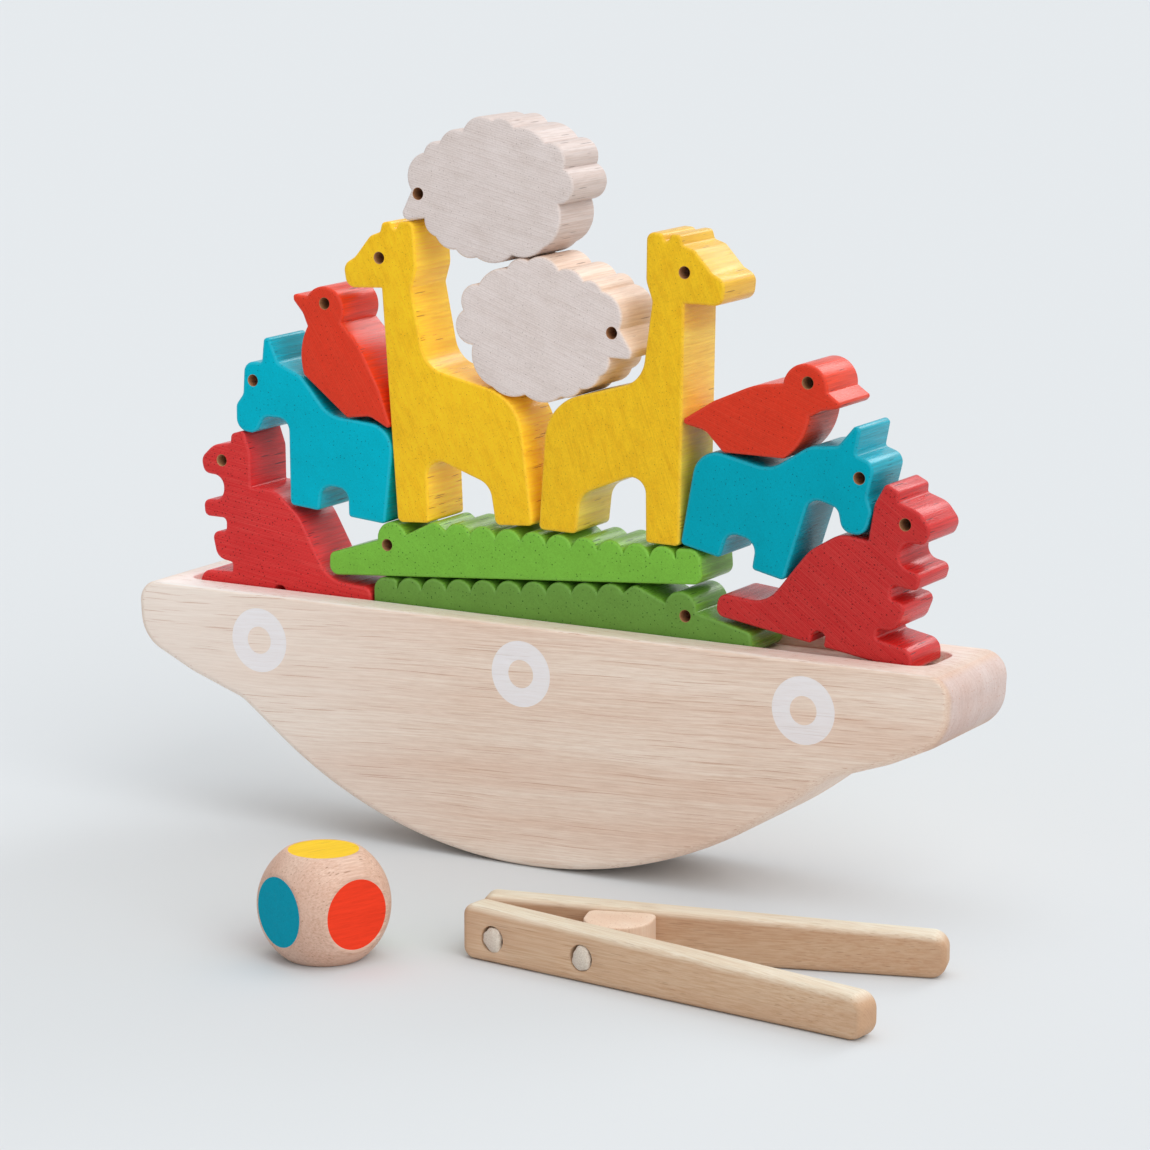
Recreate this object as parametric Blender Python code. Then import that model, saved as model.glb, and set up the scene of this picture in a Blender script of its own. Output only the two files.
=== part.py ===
import math

import bmesh
import bpy

for old in list(bpy.data.objects):
    bpy.data.objects.remove(old, do_unlink=True)

# Driving sizes, in millimetres
unit = 0.001
board = 20.0              # thickness of the board the animals are cut from
gap = 0.35                # room left between pieces that touch
animal_edge = 0.8         # broken edge along every animal outline
eye_bore = 3.5            # drilled eye, right through

prow = 12.0               # solid wood beyond each end of the recess
hull_wall = 9.4           # boat wall on each side of the recess
recess_room = 1.2         # recess wider than the board by this much
rim_height = 72.3         # top of the boat above the floor
recess_depth = 3.6
recess_corner = 6.0       # round left by the milling cutter
rocker_radius = 142.0
rocker_turn = 37.2        # degrees of rocker each side of the middle
hull_edge = 2.8           # rounded edge below and at the ends
rim_edge = 1.2            # smaller round along the rim

croc_length = 127.4       # sets the size of the whole interlocking set
croc_tail_height = 10.4
croc_slope = 4.4          # degrees the back climbs towards the head

die_size = 30.0           # flat to flat
die_turned = 1.215        # ball the cube is turned to, times the cube

arm_length = 127.5
arm_thick = 8.5
arm_rear_height = 15.5
arm_tip_height = 12.0
arm_edge = 1.9
arm_spread = 23.2         # degrees between the arms at rest
block_start = 30.4        # half-round block of the tongs, from the rear end
block_length = 18.8
block_height = 12.5
block_corner = 2.5
knot_bore = 7.2           # counterbore that hides a cord knot
knot_depth = 2.6
cord_bore = 5.6
strand = 1.5              # each of the two strands of the rear cord
strand_reach = 8.3        # strand beyond its own arm
middle_cord = 2.4
bore_height = 6.9
rear_cord_at = 10.3       # from the rear end

# Sizes that follow from the ones above
recess_width = board + recess_room
hull_depth = recess_width + 2 * hull_wall
grow = croc_length / 127.4    # the outlines are drawn for a crocodile this long
recess_half = croc_length / 2 + grow * 61.2
hull_half = recess_half + prow
die_ball = die_size * die_turned
seat = rim_height - recess_depth + gap
slope = math.radians(croc_slope)
block_round = block_length / 2
middle_cord_at = block_start + block_round


def material(name, colour, rough):
    mat = bpy.data.materials.new(name)
    mat.use_nodes = True
    shader = mat.node_tree.nodes["Principled BSDF"]
    shader.inputs["Base Color"].default_value = (*colour, 1.0)
    shader.inputs["Roughness"].default_value = rough
    shader.inputs["Metallic"].default_value = 0.0
    mat.diffuse_color = (*colour, 1.0)
    return mat


def finish(name, bm, mat, place=(0.0, 0.0, 0.0), lean=0.0, yaw=0.0):
    bmesh.ops.recalc_face_normals(bm, faces=bm.faces)
    bmesh.ops.triangulate(bm, faces=bm.faces)
    mesh = bpy.data.meshes.new(name)
    bm.to_mesh(mesh)
    bm.free()
    mesh.materials.append(mat)
    obj = bpy.data.objects.new(name, mesh)
    obj.location = [unit * v for v in place]
    obj.rotation_euler = (0.0, -math.radians(lean), math.radians(yaw))
    bpy.context.collection.objects.link(obj)
    return obj


# A corner is (x, z, r): the two straight edges meet in a round of radius r.
# A fourth number bows the edge that follows out by that much, as an arc.
def outline(corners, step=18.0):
    count = len(corners)
    area = sum(a[0] * b[1] - b[0] * a[1] for a, b in zip(corners, corners[1:] + corners[:1]))
    out = 1.0 if area > 0 else -1.0
    loop = []
    for i, corner in enumerate(corners):
        x, z, r = corner[:3]
        bow = corner[3] if len(corner) > 3 else 0.0
        px, pz = corners[i - 1][:2]
        nx, nz = corners[(i + 1) % count][:2]
        if r > 0:
            la, lb = math.hypot(px - x, pz - z), math.hypot(nx - x, nz - z)
            ax, az, bx, bz = (px - x) / la, (pz - z) / la, (nx - x) / lb, (nz - z) / lb
            half = 0.5 * math.acos(max(-1.0, min(1.0, ax * bx + az * bz)))
            run = min(r / math.tan(half), 0.48 * la, 0.48 * lb)
            r = run * math.tan(half)
            mx, mz = ax + bx, az + bz
            far = r / math.sin(half) / math.hypot(mx, mz)
            cx, cz = x + mx * far, z + mz * far
            start = math.atan2(z + az * run - cz, x + ax * run - cx)
            turn = math.atan2(z + bz * run - cz, x + bx * run - cx) - start
            turn = (turn + math.pi) % (2 * math.pi) - math.pi
            parts = max(1, round(abs(math.degrees(turn)) / step))
            for k in range(parts + 1):
                angle = start + turn * k / parts
                loop.append((cx + r * math.cos(angle), cz + r * math.sin(angle)))
        else:
            loop.append((x, z))
        if bow:
            chord = math.hypot(nx - x, nz - z)
            ux, uz = (nx - x) / chord, (nz - z) / chord
            ring = (chord * chord / 4 + bow * bow) / (2 * bow)
            half = 2 * math.atan(2 * bow / chord)
            parts = max(3, round(2 * math.degrees(half) / (1.5 * step)))
            for k in range(1, parts):
                angle = half * (2 * k / parts - 1)
                along = chord / 2 + ring * math.sin(angle)
                lift = out * (ring * math.cos(angle) - ring + bow)
                loop.append((x + ux * along + uz * lift, z + uz * along - ux * lift))
    return loop if area > 0 else loop[::-1]


def drawn(eye, corners):
    return [grow * c for c in eye], [[grow * c for c in corner] for corner in corners]


def inset(loop, depths):
    result = []
    count = len(loop)
    for i, (x, z) in enumerate(loop):
        px, pz = loop[i - 1]
        nx, nz = loop[(i + 1) % count]
        la, lb = math.hypot(x - px, z - pz), math.hypot(nx - x, nz - z)
        ax, az, bx, bz = (pz - z) / la, (x - px) / la, (z - nz) / lb, (nx - x) / lb
        share = depths[i] / max(0.5, 1 + ax * bx + az * bz)
        result.append((x + share * (ax + bx), z + share * (az + bz)))
    return result


# Board cut to an outline and extruded through y, every rim rounded in a number of
# flats, with stepped bores given as (x, z, [(y, radius), ...]) from front to back.
def board_cut(loop, thick, edges, flats=1, bores=()):
    bm = bmesh.new()
    depths = edges if isinstance(edges, list) else [edges] * len(loop)
    rings = []
    for side in (-1, 1):
        stack = []
        for k in range(flats + 1):
            angle = 0.5 * math.pi * k / flats
            moved = inset(loop, [d * (1 - math.sin(angle)) for d in depths])
            level = [side * (thick / 2 - d * (1 - math.cos(angle))) for d in depths]
            stack.append([(x, y, z) for (x, z), y in zip(moved, level)])
        rings += stack if side < 0 else stack[::-1]
    made = [[bm.verts.new([unit * c for c in p]) for p in ring] for ring in rings]
    for low, high in zip(made, made[1:]):
        for i in range(len(loop)):
            j = (i + 1) % len(loop)
            bm.faces.new((low[i], low[j], high[j], high[i]))
    caps = [list(made[0]), list(made[-1])]
    edges_of = [[], []]
    for cap, found in zip(caps, edges_of):
        for i in range(len(cap)):
            found.append(bm.edges.get((cap[i], cap[(i + 1) % len(cap)])))
    for x, z, steps in bores:
        turns = 12
        shells = []
        for y, r in steps:
            shells.append([bm.verts.new((unit * (x + r * math.cos(2 * math.pi * k / turns)), unit * y,
                                         unit * (z + r * math.sin(2 * math.pi * k / turns))))
                           for k in range(turns)])
        for low, high in zip(shells, shells[1:]):
            for k in range(turns):
                m = (k + 1) % turns
                bm.faces.new((low[k], low[m], high[m], high[k]))
        for shell, found in ((shells[0], edges_of[0]), (shells[-1], edges_of[1])):
            found += [bm.edges.get((shell[k], shell[(k + 1) % turns])) for k in range(turns)]
    for found in edges_of:
        bmesh.ops.triangle_fill(bm, use_beauty=True, use_dissolve=False, edges=found)
    return bm


def animal(name, shape, eye, mat, x, z, lean=0.0, left=False):
    loop = outline(shape)
    ex, ez = eye
    if left:
        loop = [(-px, pz) for px, pz in loop][::-1]
        ex = -ex
    bore = (ex, ez, [(-board / 2, eye_bore / 2), (board / 2, eye_bore / 2)])
    bm = board_cut(loop, board, animal_edge, 1, [bore])
    return finish(name, bm, mat, (x, 0.0, z), lean)


wood = material("rubberwood", (0.80, 0.64, 0.48), 0.55)
yellow = material("giraffe_yellow", (0.72, 0.44, 0.02), 0.5)
teal = material("donkey_teal", (0.0, 0.36, 0.48), 0.5)
crimson = material("kangaroo_crimson", (0.60, 0.03, 0.035), 0.5)
vermilion = material("bird_vermilion", (0.72, 0.05, 0.02), 0.5)
green = material("crocodile_green", (0.16, 0.40, 0.05), 0.5)
fleece = material("sheep_white", (0.66, 0.60, 0.58), 0.6)
cotton = material("cord_white", (0.80, 0.77, 0.72), 0.9)

# Boat: rocker arc below, hollow under each prow, blunt rounded ends
flat_turns = 12
half_step = math.radians(rocker_turn) / (flat_turns - 0.5)
rocker_low = rocker_radius * (1 - math.cos(0.5 * half_step))
right_half = []
for k in range(flat_turns):
    angle = (k + 0.5) * half_step
    rise = rocker_radius * (1 - math.cos(angle)) - rocker_low
    right_half.append((rocker_radius * math.sin(angle), rise, 0.0))
end_x, end_z = right_half[-1][:2]
right_half += [(end_x + 13.2, end_z + 9.9, 9.5), (hull_half - 19.5, end_z + 16.2, 25.0),
               (hull_half - 0.8, end_z + 25.0, 12.2),
               (hull_half, rim_height, 7.5)]
hull_shape = [(-x, z, r) for x, z, r in right_half[::-1]] + right_half
hull_loop = outline(hull_shape, 22.0)
below = [max(0.0, min(1.0, (rim_height - z) / 8.0)) for x, z in hull_loop]
hull_depths = [rim_edge + (hull_edge - rim_edge) * share for share in below]
hull = finish("hull", board_cut(hull_loop, hull_depth, hull_depths, 2), wood)

# Recess milled in the top, with the corners the cutter leaves
recess_side = recess_width / 2
recess_ends = [(-recess_half, -recess_side), (recess_half, -recess_side),
               (recess_half, recess_side), (-recess_half, recess_side)]
recess_loop = outline([(x, y, recess_corner) for x, y in recess_ends], 15.0)
bm = bmesh.new()
low = [bm.verts.new((unit * x, unit * y, unit * (rim_height - recess_depth))) for x, y in recess_loop]
high = [bm.verts.new((unit * x, unit * y, unit * (rim_height + 5.0))) for x, y in recess_loop]
bm.faces.new(low)
bm.faces.new(high)
for i in range(len(low)):
    j = (i + 1) % len(low)
    bm.faces.new((low[i], low[j], high[j], high[i]))
cutter = finish("recess_cutter", bm, wood)
cutter.hide_render = True
cutter.display_type = "WIRE"
cut = hull.modifiers.new("recess", "BOOLEAN")
cut.operation = "DIFFERENCE"
cut.solver = "EXACT"
cut.object = cutter

# Crocodile: flat belly, a back of round scales that climbs to the head, eye bump and snout
first_valley = 8.2 * grow
croc_pitch = 8.55 * grow
valley_height = 7.3 * grow
scale_top = croc_tail_height
head = [(0.0, 0.0, 3.0), (127.4, 0.0, 4.2), (126.6, 6.7, 2.0), (109.4, 10.8, 0.6), (109.2, 11.0, 0.0, 4.5),
        (99.0, 12.7, 0.0), (88.6, 17.0, 3.0)]
croc_eye, croc = drawn((42.0, 9.5), head)
for k in range(9, 0, -1):
    d = first_valley + croc_pitch * k
    valley = valley_height + 0.088 * (d - first_valley)
    middle = d - croc_pitch / 2
    top = scale_top + (middle - first_valley / 2) * math.tan(slope)
    croc.append((d, valley, 0.0, top - valley + 0.044 * croc_pitch))
tail = [(first_valley, scale_top, 3.2 * grow), (0.0, scale_top, 4.2 * grow)]
croc += [(first_valley, valley_height, 0.0)] + tail
croc = [(corner[0] - croc_length / 2, *corner[1:]) for corner in croc]

# Giraffe, facing right, feet on the ground line
giraffe_eye, giraffe = drawn((23.5, 78.6), [
    (-23.3, 0.0, 1.6), (-21.0, 37.4, 15.0), (10.1, 46.4, 9.0), (13.1, 69.6, 1.2), (11.0, 75.2, 6.0),
    (11.0, 89.3, 2.4), (16.2, 89.1, 1.8), (17.4, 86.0, 1.3), (18.9, 89.2, 1.3), (21.9, 89.0, 1.3),
    (22.8, 86.2, 1.0), (26.4, 85.1, 3.0), (32.2, 78.9, 4.0), (36.4, 76.8, 3.2), (35.7, 69.9, 3.2),
    (23.5, 69.7, 0.4), (23.3, 0.0, 1.8), (12.2, 0.0, 1.2), (11.7, 20.6, 4.5), (-9.4, 11.8, 6.0),
    (-10.6, 0.0, 1.8)])

# Bird, facing right, belly on the ground line
bird_eye, bird = drawn((16.8, 22.1), [
    (-24.0, 7.5, 1.0), (-13.0, 14.4, 10.0), (0.0, 20.1, 24.0), (8.9, 21.3, 0.0, 6.8), (22.9, 19.7, 0.0),
    (27.0, 16.9, 1.0), (25.8, 15.4, 1.0), (21.0, 14.5, 3.0), (17.4, 12.5, 0.0, 1.6), (9.5, 0.0, 0.0),
    (-9.7, 0.0, 1.6), (-15.4, 5.7, 5.0)])

# Donkey, facing right, feet on the ground line
donkey_eye, donkey = drawn((32.8, 35.7), [
    (17.0, 0.0, 1.5), (19.4, 25.9, 3.8), (28.2, 25.3, 3.0), (30.9, 19.4, 3.6), (38.0, 19.9, 5.0),
    (38.6, 27.4, 2.8), (36.3, 31.0, 3.0), (36.5, 40.9, 6.2), (30.2, 41.6, 1.0), (30.0, 49.0, 1.3),
    (28.0, 49.6, 1.2), (24.2, 42.4, 2.0), (15.8, 39.7, 8.0), (5.4, 29.5, 10.0), (-18.0, 29.5, 8.0),
    (-16.9, 0.0, 1.4), (-3.9, 0.0, 1.2), (-3.1, 8.1, 3.6), (6.1, 8.1, 4.0), (6.5, 0.0, 1.2)])

# Kangaroo, facing right, foot and tail on the ground line, arched notch under the heel
kangaroo_eye, kangaroo = drawn((20.5, 40.8), [
    (-2.0, 0.0, 0.8), (-2.0, 4.0, 1.8), (2.0, 4.0, 1.8), (2.0, 0.0, 0.8), (29.8, 0.0, 1.2),
    (28.6, 6.2, 4.5), (17.4, 6.6, 0.9), (17.4, 9.5, 0.9), (23.0, 10.4, 4.5), (24.8, 18.6, 2.4),
    (19.5, 18.8, 1.5), (19.4, 23.0, 1.5), (27.2, 23.1, 1.8), (27.7, 28.2, 2.0), (20.2, 28.6, 3.6),
    (20.2, 35.8, 3.6), (27.2, 36.4, 2.5), (28.4, 41.0, 3.2), (23.8, 45.3, 6.0), (17.4, 46.4, 0.8),
    (17.2, 49.2, 1.5), (12.6, 50.6, 1.2), (10.2, 44.0, 5.0), (10.1, 33.3, 0.5), (1.6, 33.3, 9.0),
    (-7.2, 25.9, 14.0), (-17.6, 7.6, 10.0), (-32.8, 6.6, 2.9), (-32.8, 0.0, 2.6)])

# Sheep, facing right: a fleece of bows from chin to brow and a small face
sheep_eye, sheep = drawn((23.7, 0.5), [
    (22.8, -6.8, 0.0), (29.4, -6.9, 1.4), (30.2, -4.6, 1.4), (26.1, 1.6, 0.0, 3.2),
    (20.4, 12.2, 0.0, 1.4), (14.5, 14.8, 0.0, 1.7), (6.3, 17.5, 0.0, 2.4), (-4.0, 19.6, 0.0, 1.6),
    (-11.1, 17.0, 0.0, 1.6), (-20.7, 11.8, 0.0, 3.0), (-26.0, 4.0, 0.0, 4.1), (-23.0, -6.0, 0.0, 2.8),
    (-16.3, -18.0, 0.0, 1.6), (-5.5, -19.4, 0.0, 2.0), (6.6, -19.2, 0.0, 1.2), (13.2, -16.5, 0.0, 1.3),
    (19.5, -12.4, 0.0, 1.2)])

# Stack: crocodiles head to tail in the boat make a level deck, the rest is set on that
lower_x = 6.7 * grow
upper_x = -9.4 * grow
tail_end = lower_x - croc_length / 2
snout_end = lower_x + croc_length / 2
animal("lower_crocodile", croc, croc_eye, green, lower_x, seat)
back_run = croc_length / 2 - first_valley / 2
rise = scale_top + (upper_x - lower_x + back_run) * math.tan(slope) + 1.1 * gap / math.cos(slope)
animal("upper_crocodile", croc, croc_eye, green, upper_x, seat + rise, croc_slope, left=True)
deck = seat + rise + scale_top * math.cos(slope) + back_run * math.sin(slope) + gap
animal("left_kangaroo", kangaroo, kangaroo_eye, crimson, tail_end - grow * 33.75, seat, 0.0, left=True)
animal("right_kangaroo", kangaroo, kangaroo_eye, crimson, snout_end + grow * 20.2, seat + grow * 5.55, -9.2)

animal("right_giraffe", giraffe, giraffe_eye, yellow, grow * 23.35, deck + grow * 0.3, -0.75)
animal("left_giraffe", giraffe, giraffe_eye, yellow, grow * -25.1, deck - grow * 0.25, 3.9, left=True)
animal("right_donkey", donkey, donkey_eye, teal, grow * 63.35, deck - grow * 2.85, -12.6)
animal("left_donkey", donkey, donkey_eye, teal, grow * -69.6, deck - grow * 1.5, -4.75, left=True)
animal("right_bird", bird, bird_eye, vermilion, grow * 69.95, deck + grow * 28.3, -0.4)
animal("left_bird", bird, bird_eye, vermilion, grow * -73.6, deck + grow * 34.05, -37.9, left=True)
animal("lower_sheep", sheep, sheep_eye, fleece, grow * 0.75, deck + grow * 59.2, 0.35)
animal("upper_sheep", sheep, sheep_eye, fleece, grow * -16.65, deck + grow * 98.55, 7.1, left=True)

# Colour die: a cube turned to a ball, so each face is a round flat
die_place = (-0.8, -123.2, die_size / 2)
die_yaw = -21.0
bm = bmesh.new()
bmesh.ops.create_uvsphere(bm, u_segments=32, v_segments=18, radius=unit * die_ball / 2)
die = finish("die", bm, wood, die_place, 0.0, die_yaw)
bm = bmesh.new()
bmesh.ops.create_cube(bm, size=unit * die_size)
die_cutter = finish("die_cutter", bm, wood, die_place, 0.0, die_yaw)
die_cutter.hide_render = True
die_cutter.display_type = "WIRE"
trim = die.modifiers.new("flats", "BOOLEAN")
trim.operation = "INTERSECT"
trim.solver = "EXACT"
trim.object = die_cutter

# Tongs, planned with u along the back arm from the rear end and v from its inner face
# towards the front arm. The front arm rocks round the half-round of the block.
rear_x, rear_y, back_yaw = 33.0, -97.2, 17.0
spread = math.radians(arm_spread)
sin_s, cos_s, tan_s = math.sin(spread), math.cos(spread), math.tan(spread)
pivot_u = middle_cord_at
pivot_v = gap + pivot_u * tan_s - (block_round + gap) / cos_s
pivot_along = pivot_u * cos_s + (pivot_v - gap) * sin_s


def plan(u, v):
    turn = math.radians(back_yaw)
    x = rear_x + u * math.cos(turn) + v * math.sin(turn)
    y = rear_y + u * math.sin(turn) - v * math.cos(turn)
    return (x, y, 0.0)


def shifted(bm, x, y, z):
    bmesh.ops.translate(bm, verts=bm.verts, vec=(unit * x, unit * y, unit * z))
    return bm


# Round bar along y through rings given as (y, radius, x shift, z shift)
def turned(rings, turns=12):
    bm = bmesh.new()
    made = []
    for y, r, dx, dz in rings:
        spots = [(2 * math.pi * k / turns) for k in range(turns)]
        made.append([bm.verts.new((unit * (dx + r * math.cos(a)), unit * y, unit * (dz + r * math.sin(a))))
                     for a in spots])
    for low, high in zip(made, made[1:]):
        for k in range(turns):
            m = (k + 1) % turns
            bm.faces.new((low[k], low[m], high[m], high[k]))
    bm.faces.new(made[0])
    bm.faces.new(made[-1])
    return bm


arm_shape = [(0.0, 0.0, 3.4), (arm_length, 0.0, 4.6), (arm_length, arm_tip_height, 4.6),
             (0.0, arm_rear_height, 3.4)]
arm_loop = outline(arm_shape, 22.0)
face = arm_thick / 2


# Both arms are the same board with two stepped bores, the wide step on the outer side
def arm(outer):
    steps = [(-face, knot_bore / 2), (-face + knot_depth, knot_bore / 2), (-face + knot_depth, cord_bore / 2),
             (face, cord_bore / 2)]
    if outer > 0:
        steps = [(-y, r) for y, r in steps[::-1]]
    bores = [(x, bore_height, steps) for x in (rear_cord_at, middle_cord_at)]
    return board_cut(arm_loop, arm_thick, arm_edge, 2, bores)


# A knot fills its counterbore with a little room and stands just proud of the face.
# The cord goes on from it to an end at this depth from the face, shifted by dx and dz.
def cord(outer, depth, thick, dx=0.0, dz=0.0):
    floor = knot_depth - gap
    big = knot_bore / 2 - gap
    rings = [(-0.7, 0.55 * big, 0, 0), (-0.2, 0.85 * big, 0, 0), (0.8, big, 0, 0), (floor, big, 0, 0),
             (floor, thick / 2, dx, dz), (depth, thick / 2, dx, dz)]
    return turned([(outer * (face - y), r, x, z) for y, r, x, z in rings])


back_place = plan(0.0, -face)
finish("tongs_back_arm", arm(1), wood, back_place, 0.0, back_yaw)
front_back = -face - block_round - gap
front_place = plan(pivot_u, pivot_v)
front_yaw = back_yaw - arm_spread
finish("tongs_front_arm", shifted(arm(-1), -pivot_along, front_back, 0.0), wood, front_place, 0.0, front_yaw)

# Block lies flat against the back arm, seen from above a D with its round to the front arm
block_end = block_start + block_length
block_shape = [(block_start, -gap, block_corner), (block_start, -pivot_v, 0.0, block_round),
               (block_end, -pivot_v, 0.0), (block_end, -gap, block_corner)]
block_loop = outline(block_shape, 8.0)
bm = bmesh.new()
low = [bm.verts.new((unit * x, unit * y, 0.0)) for x, y in block_loop]
high = [bm.verts.new((unit * x, unit * y, unit * block_height)) for x, y in block_loop]
bm.faces.new(low)
bm.faces.new(high)
for i in range(len(low)):
    j = (i + 1) % len(low)
    bm.faces.new((low[i], low[j], high[j], high[i]))
block_place = plan(0.0, 0.0)
block_lift = bore_height - block_height / 2 + 0.4
block = finish("tongs_block", bm, wood, (block_place[0], block_place[1], block_lift), 0.0, back_yaw)
drill_rings = [(5.0, cord_bore / 2, 0, 0), (-2 * (pivot_v + block_round), cord_bore / 2, 0, 0)]
drill = shifted(turned(drill_rings), middle_cord_at, 0.0, bore_height)
drill = finish("block_drill", drill, wood, block_place, 0.0, back_yaw)
drill.hide_render = True
drill.display_type = "WIRE"
bore = block.modifiers.new("cord_bore", "BOOLEAN")
bore.operation = "DIFFERENCE"
bore.solver = "EXACT"
bore.object = drill

# Rear cord: two strands side by side, one with each arm. Middle cord: through the block.
side = (strand + gap) / 2
own = -1.3
rear_back = cord(1, arm_thick + strand_reach, strand, own, side)
rear_back = shifted(rear_back, rear_cord_at, 0.0, bore_height)
finish("rear_cord_back", rear_back, cotton, back_place, 0.0, back_yaw)
rear_front = cord(-1, arm_thick + strand_reach, strand, own, -side)
rear_front = shifted(rear_front, rear_cord_at - pivot_along, front_back, bore_height)
finish("rear_cord_front", rear_front, cotton, front_place, 0.0, front_yaw)
middle_back = cord(1, arm_thick + pivot_v + block_round - gap, middle_cord)
middle_back = shifted(middle_back, middle_cord_at, 0.0, bore_height)
finish("middle_cord_back", middle_back, cotton, back_place, 0.0, back_yaw)
middle_front = cord(-1, arm_thick - gap, middle_cord)
middle_front = shifted(middle_front, middle_cord_at - pivot_along, front_back, bore_height)
finish("middle_cord_front", middle_front, cotton, front_place, 0.0, front_yaw)
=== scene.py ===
import bmesh
import bpy
import numpy as np
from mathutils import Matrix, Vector
from mathutils.geometry import delaunay_2d_cdt


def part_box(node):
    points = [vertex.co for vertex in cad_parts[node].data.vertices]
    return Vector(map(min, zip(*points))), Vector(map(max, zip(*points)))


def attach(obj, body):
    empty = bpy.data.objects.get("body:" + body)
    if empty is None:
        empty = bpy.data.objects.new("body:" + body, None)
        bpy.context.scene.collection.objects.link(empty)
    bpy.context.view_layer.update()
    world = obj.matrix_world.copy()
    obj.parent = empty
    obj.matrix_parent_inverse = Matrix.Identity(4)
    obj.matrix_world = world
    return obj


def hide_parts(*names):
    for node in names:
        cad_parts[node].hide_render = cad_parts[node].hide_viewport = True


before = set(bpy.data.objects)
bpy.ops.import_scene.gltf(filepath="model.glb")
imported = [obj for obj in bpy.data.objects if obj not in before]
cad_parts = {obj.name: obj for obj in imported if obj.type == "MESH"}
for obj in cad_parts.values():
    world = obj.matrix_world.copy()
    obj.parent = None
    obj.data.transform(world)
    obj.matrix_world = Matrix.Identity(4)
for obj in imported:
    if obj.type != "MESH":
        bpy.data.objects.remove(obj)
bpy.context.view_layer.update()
scene = bpy.context.scene
scene.view_settings.view_transform = "Standard"
mm = 0.001
tiny = 1e-6
mergeWithin = 0.002
fillWithin = 1e-7
fullTurn = 6.283
print("frame loaded:", len(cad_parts), "nodes")


# Screen colour of 0 to 255 as the linear colour that a shader takes
def fromScreen(rgb):
    c = np.array(rgb, float) / 255.0
    lin = np.where(c <= 0.04045, c / 12.92, ((c + 0.055) / 1.055) ** 2.4)
    return (*lin.tolist(), 1.0)


def plug(tree, socket, value):
    if hasattr(value, "is_linked"):
        tree.links.new(value, socket)
    else:
        socket.default_value = value


# A node with its settings, and its sockets, by name or number, linked or set to a value
def addNode(tree, kind, sockets=None, **settings):
    node = tree.nodes.new(kind)
    for key, value in settings.items():
        setattr(node, key, value)
    for key, value in (sockets or {}).items():
        plug(tree, node.inputs[key], value)
    return node


def attribute(tree, name, output):
    return addNode(tree, "ShaderNodeAttribute", attribute_name=name).outputs[output]


def calc(tree, op, a, b=0.0, clamp=False):
    return addNode(tree, "ShaderNodeMath", {0: a, 1: b}, operation=op, use_clamp=clamp).outputs[0]


def stretched(tree, vector, scale, turn=(0.0, 0.0, 0.0)):
    spin = addNode(tree, "ShaderNodeMapping", {"Vector": vector, "Rotation": np.radians(turn).tolist()})
    return addNode(tree, "ShaderNodeMapping", {"Vector": spin.outputs[0], "Scale": scale}).outputs[0]


def noise(tree, vector, detail=2.0, rough=0.5, twist=0.0, output=0):
    sockets = {"Vector": vector, "Scale": 1.0, "Detail": detail, "Roughness": rough, "Distortion": twist}
    return addNode(tree, "ShaderNodeTexNoise", sockets, noise_dimensions="3D").outputs[output]


def between(tree, value, low, high, outLow=0.0, outHigh=1.0):
    sockets = dict(enumerate((value, low, high, outLow, outHigh)))
    return addNode(tree, "ShaderNodeMapRange", sockets, clamp=True).outputs[0]


def cells(tree, vector, dimensions):
    return addNode(tree, "ShaderNodeTexVoronoi", {"Vector": vector, "Scale": 1.0},
                   voronoi_dimensions=dimensions, feature="F1")


def tint(tree, share, a, b, blend="MIX"):
    sockets = {0: share, 6: a, 7: b}
    return addNode(tree, "ShaderNodeMix", sockets, data_type="RGBA", blend_type=blend).outputs[2]


def newMaterial(name):
    mat = bpy.data.materials.new(name)
    mat.use_nodes = True
    return mat, mat.node_tree, mat.node_tree.nodes["Principled BSDF"]


def setBump(tree, shader, height, strength, depth):
    bump = addNode(tree, "ShaderNodeBump", {"Strength": strength, "Distance": depth * mm, "Height": height})
    plug(tree, shader.inputs["Normal"], bump.outputs[0])


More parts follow.
